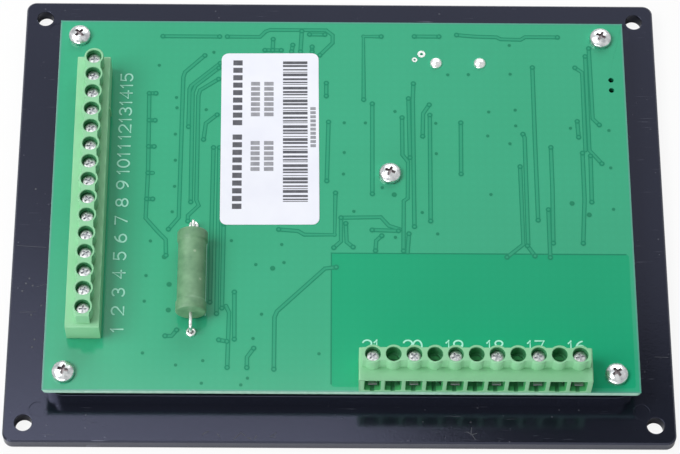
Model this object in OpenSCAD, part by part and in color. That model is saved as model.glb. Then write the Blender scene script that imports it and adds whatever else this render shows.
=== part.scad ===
// Engine generator controller for panel mounting, lying face down with its wiring side up.
// Millimetres. X runs along the long side, Y along the short side, Z from the front face to the wiring side.

/* [Panel housing] */
// Length of the mounting flange
flange_w = 165; // [160:1:200]
// Height of the mounting flange
flange_h = 125; // [118:1:160]
// Thickness of the mounting flange
flange_t = 3.8; // [3.4:0.1:5]
// Corner radius of the flange
flange_r = 2.5; // [1:0.5:4]
// Chamfer of the flange's edges, front and rear
flange_chamfer = 0.4; // [0.2:0.1:0.8]
// Distance of each fixing hole from the flange's two edges
hole_inset = 5; // [4:0.5:6]
// Diameter of the fixing holes
hole_d = 4.3; // [3.2:0.1:5]
// Width of the rim outside the box wall
rim_w = 10; // [9.5:0.5:12]
// Corner radius of the box wall
wall_r = 5; // [4.5:0.5:7]
// Thickness of the box wall
wall_t = 2.5; // [1.5:0.1:3]
// Thickness of the front wall behind the film
front_t = 2.4; // [1.8:0.1:3]
// Height of the room between the front wall and the board
room_h = 7; // [6.5:0.1:12]
// Slot left between the wall's top and the board
wall_slot = 1; // [0.4:0.1:2]
// Diameter of the screw pillars
pillar_d = 7; // [6:0.5:9]
// Diameter of the pilot holes in the pillars
pilot_d = 2.5; // [2.2:0.1:2.8]
// Depth of the pilot holes
pilot_depth = 6; // [5:0.5:7]
// Diameter of the ejector marks on the flange
mark_d = 4; // [3:0.5:5]
// Depth of the ejector marks
mark_depth = 0.15; // [0.1:0.05:0.3]
// Distance of each ejector mark from the flange's long-side edge
mark_inset_x = 8.3; // [8:0.1:9]
// Distance of each ejector mark from the flange's short-side edge
mark_inset_y = 8.5; // [8:0.1:9]

/* [Front film and keys] */
// Depth of the recess that holds the film
recess_depth = 0.6; // [0.4:0.1:1]
// Thickness of the film
film_t = 0.5; // [0.2:0.1:0.6]
// Margin between the flange's edge and the recess
recess_inset = 10; // [9:0.5:14]
// Corner radius of the recess
recess_r = 3; // [2:0.5:5]
// Room between the film and the recess's edge
film_gap = 0.2; // [0.1:0.05:0.4]
// Length of a key's cap
key_w = 16; // [12:0.5:20]
// Height of a key's cap
key_h = 11; // [9:0.5:13]
// Corner radius of a key's cap
key_r = 2; // [1:0.5:4]
// Distance from key to key
key_pitch = 32; // [26:1:36]
// Place of the middle key along the front
key_shift = -8; // [-12:1:0]
// Place of the key row across the front
key_row = -24; // [-26:1:-20]
// Running room round a key
key_gap = 0.3; // [0.2:0.05:0.5]
// Lip that keeps a key behind the front wall
key_lip = 1; // [0.8:0.1:2]
// Thickness of that lip
key_lip_t = 1; // [0.8:0.1:1.4]
// Depth of a key's face behind the flange's front
key_sink = 0.3; // [0.2:0.1:0.6]
// Depth of the finger dish in a key
key_dish = 0.4; // [0.2:0.1:0.8]
// Travel of a key
key_travel = 0.6; // [0.3:0.1:0.8]
// Diameter of a key's stem
stem_d = 3.2; // [2.6:0.2:3.6]
// Depth of a key's stem in its switch
stem_in = 1.2; // [0.8:0.1:1.4]
// Running room round the stem
stem_gap = 0.25; // [0.15:0.05:0.4]
// Side of a key switch
switch_w = 6.4; // [6:0.2:8]
// Height of a key switch
switch_h = 3.8; // [3.4:0.1:4.2]

/* [Indicators] */
// Distance of the end lamps from the box wall
lamp_inset = 22.5; // [18:0.5:30]
// Place of the lamp row across the front
lamp_row = 28; // [20:1:32]
// Number of lamps
lamp_count = 6; // [2:1:6]
// Side of a lamp
lamp_w = 3; // [2.4:0.2:4]
// Height of a lamp
lamp_h = 1.9; // [1.4:0.1:2.2]
// Diameter of a light pipe
pipe_d = 4; // [3:0.2:5]
// Diameter of a light pipe's shoulder
pipe_shoulder_d = 5.6; // [5.2:0.2:7]
// Thickness of that shoulder
pipe_shoulder_t = 1; // [0.6:0.1:1.5]
// Space between a light pipe and its lamp
pipe_gap = 0.3; // [0.2:0.1:0.6]

/* [Circuit board] */
// Thickness of the board
board_t = 1.6; // [1:0.2:2.4]
// Overhang of the board past the box wall, left and right together halved
board_over = 0.5; // [0:0.1:1]
// Sideways offset of the board on its pillars
board_shift = 0.4; // [-0.5:0.1:0.5]
// Setback of the board from the box wall, front and back
board_setback = 0.2; // [0:0.1:0.6]
// Corner radius of the board
board_r = 1; // [0.5:0.5:2]
// Diameter of the screw holes in the board
board_hole_d = 3.4; // [3.2:0.1:3.8]
// Place of the middle screw along the board
mid_screw_x = 12.6; // [8:0.2:16]
// Place of the middle screw across the board
mid_screw_y = 7.6; // [4:0.2:12]
// Diameter of a screw head
head_d = 5.7; // [5:0.1:6.2]
// Height of a screw head
head_h = 2.2; // [1.8:0.1:2.6]
// Height of a screw head's straight rim under its dome
head_rim = 0.9; // [0.6:0.1:1.2]
// Length of a screw under its head
screw_len = 6.5; // [5:0.5:7]
// Room between a screw and its pilot hole
thread_gap = 0.05; // [0.02:0.01:0.1]
// Width of the cross recess's arms
cross_w = 0.8; // [0.6:0.1:1]
// Span of the cross recess
cross_span = 3.2; // [2.4:0.2:3.8]
// Depth of the cross recess
cross_depth = 1.2; // [0.8:0.1:1.4]
// Diameter of the two tooling holes
tool_hole_d = 1.4; // [1:0.1:2]
// Place of the tooling holes from the board's right edge
tool_hole_inset = 3.6; // [3:0.1:5]
// Place of the middle between the tooling holes across the board
tool_hole_y = 33.9; // [30:0.1:36]
// Distance between the tooling holes
tool_hole_pitch = 3; // [2.4:0.2:5]

/* [Terminals] */
// Distance from terminal to terminal
way_pitch = 5; // [5:0.08:5.08]
// Height of the terminal blocks
strip_h = 11; // [10:0.5:13]
// Height of the ledge in front of the collars
ledge_h = 6.9; // [6.8:0.1:7.4]
// Outer diameter of a collar
collar_d = 4.9; // [4.7:0.05:4.95]
// Diameter of the screw well in a collar
well_d = 3.7; // [3.6:0.05:3.9]
// Width of the web that joins the collars
web_w = 3.4; // [2.8:0.1:4]
// Length of the web past the end collars
web_over = 0.2; // [0.05:0.05:0.3]
// Chamfer of a collar's rim, outside and in the well
rim_chamfer = 0.15; // [0.1:0.05:0.2]
// Height of the shoulder that carries the screw heads
shoulder_z = 7.6; // [7.2:0.1:8]
// Diameter of the hole through that shoulder
shank_hole_d = 2.9; // [2.6:0.1:3.1]
// Width of a wire mouth
mouth_w = 4.1; // [3.8:0.1:4.3]
// Depth of a wire mouth's flare
mouth_depth = 1.2; // [0.8:0.1:1.5]
// Height of a wire mouth's floor
mouth_z = 1; // [0.8:0.1:1.2]
// Drop of that floor at the mouth's face
mouth_ramp = 0.4; // [0.2:0.1:0.5]
// Thickness of the lintel over a wire mouth
lintel_t = 0.5; // [0.4:0.1:0.8]
// Width of the guide slot in a wire mouth's floor
guide_w = 1; // [0.6:0.1:1.4]
// Depth of that slot in the floor
guide_depth = 0.7; // [0.4:0.1:0.7]
// Width of the cage's chamber
chamber_w = 3.5; // [3.4:0.1:3.7]
// Depth of the chamber behind the screw
chamber_back = 2.8; // [2.7:0.1:3]
// Room beside a cage
cage_gap = 0.1; // [0.05:0.05:0.15]
// Wall of a cage
cage_t = 0.5; // [0.4:0.1:0.6]
// Floor of a cage
cage_floor = 0.8; // [0.6:0.1:1]
// Threaded roof of a cage
cage_roof = 1.2; // [1:0.1:1.4]
// Height of a cage
cage_h = 4.6; // [4.4:0.1:5]
// Distance of a cage behind its wire mouth
cage_inset = 2.4; // [2.2:0.1:2.6]
// Reach of a cage behind its screw
cage_back = 1.5; // [1.3:0.1:1.6]
// Diameter of a clamp screw's head
clamp_head_d = 3.4; // [3.2:0.1:3.5]
// Height of a clamp screw's head
clamp_head_h = 1.8; // [1.4:0.1:2.2]
// Chamfer of a clamp screw's head
clamp_chamfer = 0.15; // [0.1:0.05:0.4]
// Diameter of a clamp screw's shank
clamp_d = 2.4; // [2:0.1:2.5]
// Width of the slot in a clamp screw
clamp_slot_w = 0.6; // [0.5:0.1:0.8]
// Depth of the slot in a clamp screw
clamp_slot_depth = 0.8; // [0.5:0.1:1]
// Width of a contact pin
pin_w = 0.9; // [0.7:0.1:1]
// Thickness of a contact pin
pin_t = 0.6; // [0.5:0.1:0.7]
// Width of a contact pin's tongue
tongue_w = 2.1; // [1.4:0.1:2.1]
// Distance of that tongue's end behind its wire mouth
tongue_inset = 0.25; // [0.2:0.05:0.6]
// Place of a contact pin behind its screw
pin_back = 2.3; // [2.2:0.1:2.4]
// Length of a contact pin out of the board
pin_out = 1.4; // [1:0.1:2]
// Diameter of the board's holes for the pins
pin_hole_d = 1.4; // [1.3:0.1:1.6]
// Diameter of a pin's solder joint at the board
pin_joint_d = 2.24; // [2:0.02:2.6]
// Room round a pin in the terminal body
pin_gap = 0.1; // [0.05:0.05:0.15]

/* [Side terminal block] */
// Number of ways
side_count = 15; // [8:1:15]
// Distance of its mouths from the board's left edge
side_inset = 5.5; // [5:0.1:8]
// Depth from its mouths to the screws
side_front = 4.5; // [3.8:0.1:4.6]
// Depth from the screws to its back
side_back = 3.9; // [3.6:0.1:5]
// Place of its middle across the board
side_shift = 0.2; // [-3:0.2:3]
// Thickness of its end plate
side_end = 1.1; // [0.6:0.1:2]
// Rounding of its upper end edges
side_round = 0.8; // [0.3:0.1:1]
// Size of the moulding gate's stub on its back
gate_w = 2; // [1:0.5:3]

/* [Lower terminal block] */
// Number of positions
lower_count = 11; // [3:2:11]
// Distance of its mouths from the board's lower edge
lower_inset = 0.1; // [0:0.1:1]
// Depth from its mouths to the screws
lower_front = 5.25; // [4.5:0.05:6]
// Depth from the screws to its back
lower_back = 3.5; // [3.4:0.1:4.5]
// Distance of its last position from the board's right edge
lower_clear = 15.6; // [15.4:0.1:18]
// Thickness of its end walls past the half pitch
lower_end = 0.8; // [0.4:0.1:1]
// Rounding of its upper end edges
lower_round = 0.3; // [0.1:0.1:0.6]

/* [Power resistor] */
// Diameter of the resistor's tube
tube_d = 7; // [5:0.5:8]
// Diameter of the resistor's end caps
cap_d = 7.6; // [6:0.1:9]
// Length of the resistor
tube_len = 22; // [18:0.5:26]
// Length of an end cap
cap_len = 2.7; // [2:0.1:4]
// Rounding of an end cap's edge
cap_round = 0.7; // [0.4:0.1:1]
// Place of the resistor along the board
tube_x = -36.7; // [-40:0.1:-34]
// Distance of the resistor's middle from the board's lower edge
tube_inset = 30.3; // [28:0.1:32]
// Diameter of the resistor's leads
tube_lead_d = 0.9; // [0.7:0.1:1.2]
// Reach of a lead past the end cap
tube_lead_run = 3.6; // [3:0.1:5]
// Bend radius of a lead
tube_lead_r = 1.2; // [1:0.1:1.6]
// Room round a lead in the board
lead_gap = 0.2; // [0.1:0.05:0.3]
// Diameter of a lead's solder joint
joint_d = 2.6; // [2:0.1:3]
// Height of a lead's solder joint
joint_h = 0.7; // [0.4:0.1:1]

/* [Label] */
// Width of the label
label_w = 25; // [20:1:30]
// Length of the label
label_len = 49.6; // [40:0.2:56]
// Corner radius of the label
label_r = 1.8; // [1:0.1:3]
// Thickness of the label
label_t = 0.15; // [0.1:0.05:0.2]
// Place of the label along the board
label_x = -17.9; // [-20:0.1:-14]
// Place of the label across the board
label_y = 17.9; // [14:0.1:20]
// Slant of the label in degrees
label_slant = 0.5; // [-1:0.1:1]

/* [Parts under the board] */
// Side of the microcontroller
chip_w = 10; // [7:0.5:12]
// Height of the microcontroller
chip_h = 1.4; // [1:0.1:1.6]
// Space under the microcontroller
chip_lift = 0.1; // [0.05:0.05:0.2]
// Legs on each side of the microcontroller
leg_count = 11; // [8:1:12]
// Distance from leg to leg
leg_pitch = 0.8; // [0.5:0.05:0.8]
// Width of a leg
leg_w = 0.35; // [0.2:0.05:0.4]
// Thickness of a leg
leg_t = 0.15; // [0.1:0.05:0.2]
// Reach of a leg
leg_run = 1; // [0.8:0.1:1.4]
// Place of the microcontroller along the board
chip_x = -16; // [-20:1:-10]
// Place of the microcontroller across the board
chip_y = 2; // [0:1:6]
// Diameter of the microcontroller's corner mark
chip_mark_d = 1; // [0.6:0.1:1.4]
// Distance of that mark from the microcontroller's edges
chip_mark_inset = 1.5; // [1:0.1:2.5]
// Depth of that mark
chip_mark_depth = 0.2; // [0.1:0.05:0.3]
// Length of the crystal
crystal_w = 11.4; // [8:0.2:12]
// Width of the crystal
crystal_d = 4.8; // [3.8:0.2:5]
// Height of the crystal
crystal_h = 4; // [3:0.1:4.4]
// Width and thickness of the crystal's foot rim
crystal_rim = 0.4; // [0.2:0.1:0.6]
// Place of the crystal across the board
crystal_y = 16; // [14:0.5:18]
// Diameter of a smoothing capacitor
can_d = 8; // [6:0.2:9]
// Height of a smoothing capacitor
can_h = 6; // [5:0.1:6.2]
// Height of a capacitor's square foot
can_foot_h = 1; // [0.6:0.1:1.4]
// Cut of that foot's two corners
can_foot_cut = 1.6; // [1:0.1:2.4]
// Step from that foot's edge to the can
can_step = 0.2; // [0.1:0.1:0.4]
// Depth of the groove rolled round the can
can_groove = 0.4; // [0.2:0.1:0.6]
// Distance between the two capacitors
can_pitch = 12; // [10.5:0.5:14]
// Distance of the capacitors from the board's right edge
can_inset = 19.4; // [17.4:0.5:23.4]
// Place of the upper capacitor across the board
can_y = 10; // [6:1:14]
// Length of the regulator's body
reg_w = 6.6; // [5:0.1:8]
// Width of the regulator's body
reg_d = 6.1; // [5:0.1:7]
// Height of the regulator's body
reg_h = 2.3; // [1.8:0.1:3]
// Distance from the regulator to the capacitors
reg_apart = 16; // [12:1:20]
// Place of the regulator across the board
reg_y = 4; // [0:1:8]
// Length of an output transistor's body
fet_w = 10; // [8:0.2:10.4]
// Width of an output transistor's body
fet_d = 6.6; // [6:0.2:7]
// Height of an output transistor's body
fet_h = 4.4; // [3:0.1:4.6]
// Distance from one output transistor to the next
fet_pitch = 13; // [12:0.5:14]
// Distance of the first output transistor from the first lower position
fet_offset = 4.2; // [2.2:0.2:6.2]
// Room between the output transistors' legs and the pins' solder joints
fet_room = 0.8; // [0.4:0.1:1.2]
// Thickness of a power part's tab and legs
tab_t = 0.8; // [0.5:0.1:1.2]
// Reach of a power part's tab
tab_run = 1.4; // [1:0.1:1.6]
// Reach of a power part's legs
foot_run = 2; // [1.4:0.1:2]
// Diameter of the protection diode
diode_d = 5.2; // [4:0.1:5.4]
// Length of the protection diode
diode_len = 7.2; // [6:0.1:7.4]
// Chamfer of its body's ends
diode_chamfer = 0.4; // [0.2:0.1:0.8]
// Diameter of its leads
diode_lead_d = 1.2; // [0.8:0.1:1.3]
// Bend radius of its leads
diode_lead_r = 1.2; // [1:0.1:1.4]
// Distance between its two joints
diode_pitch = 11.3; // [11:0.1:13]
// Space between the diode and the board
diode_lift = 0.3; // [0.1:0.1:0.6]
// Place of the diode along the board
diode_x = 30.35; // [28:0.05:33]
// Distance of the diode from the board's upper edge
diode_inset = 12.2; // [10:0.1:14]
// Diameter of its solder joints
bead_d = 3.2; // [2.6:0.1:3.6]
// Height of its solder joints
bead_h = 1; // [0.6:0.1:1.4]

/* [Hidden] */
$fn = 48;
eps = 0.01;
seat = 0.1;
wall_w = flange_w - 2 * rim_w;
wall_h = flange_h - 2 * rim_w;
floor_z = recess_depth + front_t;
board_z = floor_z + room_h;
board_top = board_z + board_t;
wall_top = board_z - wall_slot;
recess_w = flange_w - 2 * recess_inset;
recess_h = flange_h - 2 * recess_inset;
board_w = wall_w + 2 * board_over;
board_h = wall_h - 2 * board_setback;
board_left = board_shift - board_w / 2;
board_right = board_shift + board_w / 2;
corner_x = wall_w / 2 - wall_r;
corner_y = wall_h / 2 - wall_r;
screw_spots = [
    [-corner_x, corner_y],
    [corner_x, corner_y],
    [-corner_x, -corner_y],
    [corner_x, -corner_y],
    [mid_screw_x, mid_screw_y],
];
hole_x = flange_w / 2 - hole_inset;
hole_y = flange_h / 2 - hole_inset;
key_spots = [for (i = [-1 : 1]) key_shift + i * key_pitch];
key_lip_z = floor_z + seat;
stem_top = board_z - switch_h + stem_in;
lamp_pitch = (wall_w - 2 * lamp_inset) / (lamp_count - 1);
lamp_spots = [for (i = [0 : lamp_count - 1]) (i - (lamp_count - 1) / 2) * lamp_pitch];
dome_h = head_h - head_rim;
dome_r = (head_d * head_d / 4 + dome_h * dome_h) / (2 * dome_h);
side_x = board_left + side_inset + side_front;
side_len = (side_count - 1) * way_pitch;
side_y = side_shift + side_len / 2;
lower_y = -board_h / 2 + lower_inset + lower_front;
lower_len = (lower_count - 1) * way_pitch;
lower_x = board_right - lower_clear - lower_len;
side_ways = [for (i = [0 : side_count - 1]) i];
lower_ways = [for (i = [0 : lower_count - 1]) i];
loaded_ways = [for (i = [0 : 2 : lower_count - 1]) i];
mouth_top = ledge_h - lintel_t;
web_reach = collar_d / 2 + web_over;
cage_w = chamber_w - 2 * cage_gap;
cage_roof_z = mouth_z + cage_h - cage_roof;
tongue_z = cage_roof_z - seat - pin_t;
clamp_tip_z = tongue_z + pin_t;
tube_y = -board_h / 2 + tube_inset;
tube_z = board_top + cap_d / 2;
lead_hole_y = tube_len / 2 + tube_lead_run;
lead_end = board_t + pin_out;
diode_y = board_h / 2 - diode_inset;
diode_z = diode_lift + diode_d / 2;
can_x = board_right - can_inset;
reg_x = can_x - reg_apart;
fet_x = lower_x + fet_offset;
fet_y = lower_y + pin_back + pin_joint_d / 2 + fet_room + foot_run + fet_d / 2;

// Shared forms

module round_rect(w, h, r) {
    square([w - 2 * r, h], center = true);
    square([w, h - 2 * r], center = true);
    for (x = [-1, 1], y = [-1, 1])
        translate([x * (w / 2 - r), y * (h / 2 - r)])
            circle(r);
}

module plate(w, h, t, r) {
    linear_extrude(t)
        round_rect(w, h, r);
}

// The wedge that breaks the upper edge of such a plate all round, with that edge at zero
module edge_break(w, h, r, c) {
    wedge = [[-c - seat, seat], [seat, seat], [seat, -c - seat]];
    for (side = [[0, w, h], [90, h, w], [180, w, h], [270, h, w]])
        rotate(side[0]) {
            translate([side[1] / 2, side[2] / 2 - r, 0])
                rotate([90, 0, 0])
                    linear_extrude(side[2] - 2 * r)
                        polygon(wedge);
            translate([side[1] / 2 - r, side[2] / 2 - r, 0])
                rotate_extrude(angle = 90)
                    translate([r, 0])
                        polygon(wedge);
        }
}

// A part that stands on the underside of the board, drawn standing up
module under(x, y) {
    translate([x, y, board_z])
        mirror([0, 0, 1])
            children();
}

// A round wire that leaves along X, bends down and ends at the given depth
module formed_lead(d, run, r, drop) {
    rotate([0, 90, 0])
        cylinder(d = d, h = run - r);
    translate([run - r, 0, -r])
        rotate([90, 0, 0])
            rotate_extrude(angle = 90)
                translate([r, 0])
                    circle(d / 2);
    translate([run, 0, -drop])
        cylinder(d = d, h = drop - r);
}

// A power part with a soldered tab on one side and three legs on the other
module power_part(w, d, h) {
    translate([-w / 2, -d / 2, 0])
        cube([w, d, h]);
    translate([-w / 2 + tab_t / 2, d / 2 - eps, 0])
        cube([w - tab_t, tab_run, tab_t]);
    for (i = [-1 : 1])
        translate([i * w / 3 - tab_t / 2, -d / 2 - foot_run, 0])
            rotate([90, 0, 90])
                linear_extrude(tab_t)
                    polygon([
                        [0, 0],
                        [foot_run / 2, 0],
                        [foot_run / 2 + tab_t, h / 3],
                        [foot_run + eps, h / 3],
                        [foot_run + eps, h / 3 + tab_t],
                        [foot_run / 2, h / 3 + tab_t],
                        [foot_run / 2 - tab_t / 2, tab_t],
                        [0, tab_t],
                    ]);
}

// Housing and front

module pillars(r, z, h) {
    for (p = screw_spots)
        translate([p[0], p[1], z])
            cylinder(r = r, h = h);
}

module key_openings(grow, z, t) {
    for (x = key_spots)
        translate([x, key_row, z])
            plate(key_w + 2 * grow, key_h + 2 * grow, t, key_r + grow);
}

module bezel_housing() {
    color("#2c2e38")
        difference() {
            union() {
                plate(flange_w, flange_h, flange_t, flange_r);
                difference() {
                    plate(wall_w, wall_h, wall_top, wall_r);
                    translate([0, 0, floor_z])
                        plate(wall_w - 2 * wall_t, wall_h - 2 * wall_t, board_z, wall_r - wall_t);
                }
                pillars(pillar_d / 2, floor_z - eps, board_z - floor_z + eps);
            }
            difference() {
                translate([0, 0, floor_z])
                    plate(wall_w - 2 * wall_t, wall_h - 2 * wall_t, flange_t, wall_r - wall_t);
                pillars(pillar_d / 2, 0, board_z);
            }
            pillars(pilot_d / 2, board_z - pilot_depth, pilot_depth + eps);
            translate([0, 0, flange_t])
                edge_break(flange_w, flange_h, flange_r, flange_chamfer);
            mirror([0, 0, 1])
                edge_break(flange_w, flange_h, flange_r, flange_chamfer);
            translate([0, 0, -eps])
                plate(recess_w, recess_h, recess_depth + eps, recess_r);
            for (x = [-1, 1], y = [-1, 1]) {
                translate([x * hole_x, y * hole_y, -eps])
                    cylinder(d = hole_d, h = flange_t + 2 * eps);
                translate([
                    x * (flange_w / 2 - mark_inset_x),
                    y * (flange_h / 2 - mark_inset_y),
                    flange_t - mark_depth,
                ])
                    cylinder(d = mark_d, h = flange_t);
            }
            key_openings(key_gap, 0, floor_z + eps);
            for (x = lamp_spots)
                translate([x, lamp_row, 0])
                    cylinder(d = pipe_d + 2 * seat, h = floor_z + eps);
        }
}

module fascia_film() {
    color("#4a4e57")
        difference() {
            translate([0, 0, recess_depth - film_t])
                plate(recess_w - 2 * film_gap, recess_h - 2 * film_gap, film_t, recess_r - film_gap);
            key_openings(key_gap, -eps, recess_depth + 1);
        }
}

module key(x) {
    translate([x, key_row, 0]) {
        difference() {
            translate([0, 0, key_sink])
                plate(key_w, key_h, key_lip_z - key_sink + eps, key_r);
            translate([0, 0, key_sink + key_dish - key_w * 2])
                sphere(r = key_w * 2, $fn = 96);
        }
        translate([0, 0, key_lip_z])
            plate(key_w + 2 * key_lip, key_h + 2 * key_lip, key_lip_t, key_r + key_lip);
        translate([0, 0, key_lip_z])
            cylinder(d = stem_d, h = stem_top - key_lip_z);
    }
}

module stop_key() {
    color("#b3322c")
        key(key_spots[0]);
}

module manual_key() {
    color("#c9cbd0")
        key(key_spots[1]);
}

module auto_key() {
    color("#4c8f5a")
        key(key_spots[2]);
}

module key_switches() {
    color("#33353a")
        for (x = key_spots)
            under(x, key_row)
                difference() {
                    translate([-switch_w / 2, -switch_w / 2, 0])
                        cube([switch_w, switch_w, switch_h]);
                    translate([0, 0, switch_h - stem_in - key_travel - seat])
                        cylinder(d = stem_d + 2 * stem_gap, h = switch_h);
                }
}

module indicator_lamps() {
    color("#f2efe2")
        for (x = lamp_spots)
            under(x, lamp_row)
                translate([-lamp_w / 2, -lamp_w / 2, 0])
                    cube([lamp_w, lamp_w, lamp_h]);
}

module light_pipes() {
    color("#dfe6ea")
        for (x = lamp_spots)
            translate([x, lamp_row, recess_depth]) {
                cylinder(d = pipe_d, h = board_z - lamp_h - pipe_gap - recess_depth);
                translate([0, 0, front_t])
                    cylinder(d = pipe_shoulder_d, h = pipe_shoulder_t);
            }
}

// Board and its fixings

module pin_spots() {
    for (i = side_ways)
        translate([side_x + pin_back, side_y - i * way_pitch, board_z])
            children();
    for (i = loaded_ways)
        translate([lower_x + i * way_pitch, lower_y + pin_back, board_z])
            children();
}

module circuit_board() {
    color("#3fa77d")
        difference() {
            translate([board_shift, 0, board_z])
                plate(board_w, board_h, board_t, board_r);
            pillars(board_hole_d / 2, board_z - eps, board_t + 2 * eps);
            pin_spots()
                translate([0, 0, -eps])
                    cylinder(d = pin_hole_d, h = board_t + 2 * eps);
            for (s = [-1, 1]) {
                translate([tube_x, tube_y + s * lead_hole_y, board_z - eps])
                    cylinder(d = tube_lead_d + 2 * lead_gap, h = board_t + 2 * eps);
                translate([diode_x + s * diode_pitch / 2, diode_y, board_z - eps])
                    cylinder(d = diode_lead_d + 2 * lead_gap, h = board_t + 2 * eps);
                translate([
                    board_right - tool_hole_inset,
                    tool_hole_y + s * tool_hole_pitch / 2,
                    board_z - eps,
                ])
                    cylinder(d = tool_hole_d, h = board_t + 2 * eps);
            }
        }
}

module board_screw() {
    difference() {
        union() {
            intersection() {
                cylinder(d = head_d, h = head_h);
                translate([0, 0, head_h - dome_r])
                    sphere(r = dome_r, $fn = 96);
            }
            translate([0, 0, -screw_len])
                cylinder(d = pilot_d - 2 * thread_gap, h = screw_len + eps);
        }
        for (a = [0, 90])
            rotate(a)
                translate([-cross_span / 2, -cross_w / 2, head_h - cross_depth])
                    cube([cross_span, cross_w, head_h]);
    }
}

module board_screws() {
    color("#c8cbd0")
        for (p = screw_spots)
            translate([p[0], p[1], board_top])
                board_screw();
}

// Terminal blocks, drawn with the first screw at the origin, the mouths towards -Y and the board at zero

module strip_way(front) {
    translate([0, 0, shoulder_z])
        cylinder(d = well_d, h = strip_h);
    translate([0, 0, strip_h - rim_chamfer])
        cylinder(d1 = well_d, d2 = well_d + 2 * (rim_chamfer + eps), h = rim_chamfer + eps);
    translate([0, 0, mouth_top - eps])
        cylinder(d = shank_hole_d, h = strip_h);
    translate([0, 0, mouth_z])
        linear_extrude(mouth_top - mouth_z)
            polygon([
                [-mouth_w / 2, -front - eps],
                [mouth_w / 2, -front - eps],
                [chamber_w / 2, -front + mouth_depth],
                [chamber_w / 2, chamber_back],
                [-chamber_w / 2, chamber_back],
                [-chamber_w / 2, -front + mouth_depth],
            ]);
    translate([-chamber_w / 2, 0, mouth_z])
        rotate([90, 0, 90])
            linear_extrude(chamber_w)
                polygon([
                    [-front - seat, seat],
                    [-front - seat, -mouth_ramp * (1 + seat / mouth_depth)],
                    [-front + mouth_depth, 0],
                    [-front + mouth_depth, seat],
                ]);
    translate([-guide_w / 2, -front - eps, mouth_z - guide_depth])
        cube([guide_w, front, guide_depth + eps]);
    translate([-pin_w / 2 - pin_gap, pin_back - pin_t / 2 - pin_gap, -eps])
        cube([pin_w + 2 * pin_gap, pin_t + 2 * pin_gap, mouth_z + 2 * eps]);
}

module ledge_side(length, r) {
    square([length, ledge_h - r]);
    translate([r, 0])
        square([length - 2 * r, ledge_h]);
    for (x = [r, length - r])
        translate([x, ledge_h - r])
            circle(r);
}

module strip_body(ways, front, back, first_end, last_end, end_round, first_web) {
    last = ways[len(ways) - 1] * way_pitch;
    difference() {
        union() {
            translate([-way_pitch / 2 - first_end, back, 0])
                rotate([90, 0, 0])
                    linear_extrude(front + back)
                        ledge_side(last + way_pitch + first_end + last_end, end_round);
            translate([-first_web, -web_w / 2, 0])
                cube([last + first_web + web_reach, web_w, strip_h]);
            for (i = ways)
                translate([i * way_pitch, 0, 0]) {
                    cylinder(d = collar_d, h = strip_h - rim_chamfer);
                    translate([0, 0, strip_h - rim_chamfer])
                        cylinder(d1 = collar_d, d2 = collar_d - 2 * rim_chamfer, h = rim_chamfer);
                }
        }
        for (i = ways)
            translate([i * way_pitch, 0, 0])
                strip_way(front);
    }
}

module clamp_screw() {
    rim_z = shoulder_z + clamp_head_h - clamp_chamfer;
    difference() {
        union() {
            translate([0, 0, shoulder_z])
                cylinder(d = clamp_head_d, h = clamp_head_h - clamp_chamfer);
            translate([0, 0, rim_z])
                cylinder(d1 = clamp_head_d, d2 = clamp_head_d - 2 * clamp_chamfer, h = clamp_chamfer);
            translate([0, 0, clamp_tip_z])
                cylinder(d = clamp_d, h = shoulder_z - clamp_tip_z + eps);
        }
        for (a = [0, 90])
            rotate(a)
                translate([-clamp_head_d * 0.36, -clamp_slot_w / 2, shoulder_z + clamp_head_h - clamp_slot_depth])
                    cube([clamp_head_d * 0.72, clamp_slot_w, clamp_head_h]);
    }
}

module clamp_cage(front) {
    reach = front - cage_inset;
    translate([0, 0, mouth_z])
        difference() {
            translate([-cage_w / 2, -reach, 0])
                cube([cage_w, reach + cage_back, cage_h]);
            translate([-cage_w / 2 + cage_t, -reach - eps, cage_floor])
                cube([cage_w - 2 * cage_t, reach + cage_back + 2 * eps, cage_h - cage_floor - cage_roof]);
            cylinder(d = clamp_d + 2 * thread_gap, h = cage_h + 1);
        }
}

module contact_pin(front) {
    reach = front - tongue_inset;
    translate([-pin_w / 2, pin_back - pin_t / 2, -lead_end])
        cube([pin_w, pin_t, lead_end + tongue_z + pin_t]);
    translate([-tongue_w / 2, -reach, tongue_z])
        cube([tongue_w, reach + pin_back + pin_t / 2, pin_t]);
}

module side_ways_at() {
    translate([side_x, side_y, board_top])
        rotate(-90)
            for (i = side_ways)
                translate([i * way_pitch, 0, 0])
                    children();
}

module lower_ways_at() {
    translate([lower_x, lower_y, board_top])
        for (i = loaded_ways)
            translate([i * way_pitch, 0, 0])
                children();
}

module side_terminal_body() {
    color("#8fcd96")
        translate([side_x, side_y, board_top])
            rotate(-90) {
                strip_body(side_ways, side_front, side_back, 0, side_end, side_round, 0);
                translate([2 * way_pitch, side_back - eps, mouth_z])
                    linear_extrude(gate_w * 2)
                        polygon([[0, 0], [gate_w, 0], [gate_w, gate_w / 4]]);
            }
}

module side_clamp_screws() {
    color("#cdd2d2")
        side_ways_at()
            clamp_screw();
}

module side_clamp_cages() {
    color("#b9bcae")
        side_ways_at()
            clamp_cage(side_front);
}

module side_contact_pins() {
    color("#c9c9c2")
        side_ways_at()
            contact_pin(side_front);
}

module lower_terminal_body() {
    color("#8fcd96")
        translate([lower_x, lower_y, board_top])
            strip_body(lower_ways, lower_front, lower_back, lower_end, lower_end, lower_round, web_reach);
}

module lower_clamp_screws() {
    color("#cdd2d2")
        lower_ways_at()
            clamp_screw();
}

module lower_clamp_cages() {
    color("#b9bcae")
        lower_ways_at()
            clamp_cage(lower_front);
}

module lower_contact_pins() {
    color("#c9c9c2")
        lower_ways_at()
            contact_pin(lower_front);
}

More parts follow.
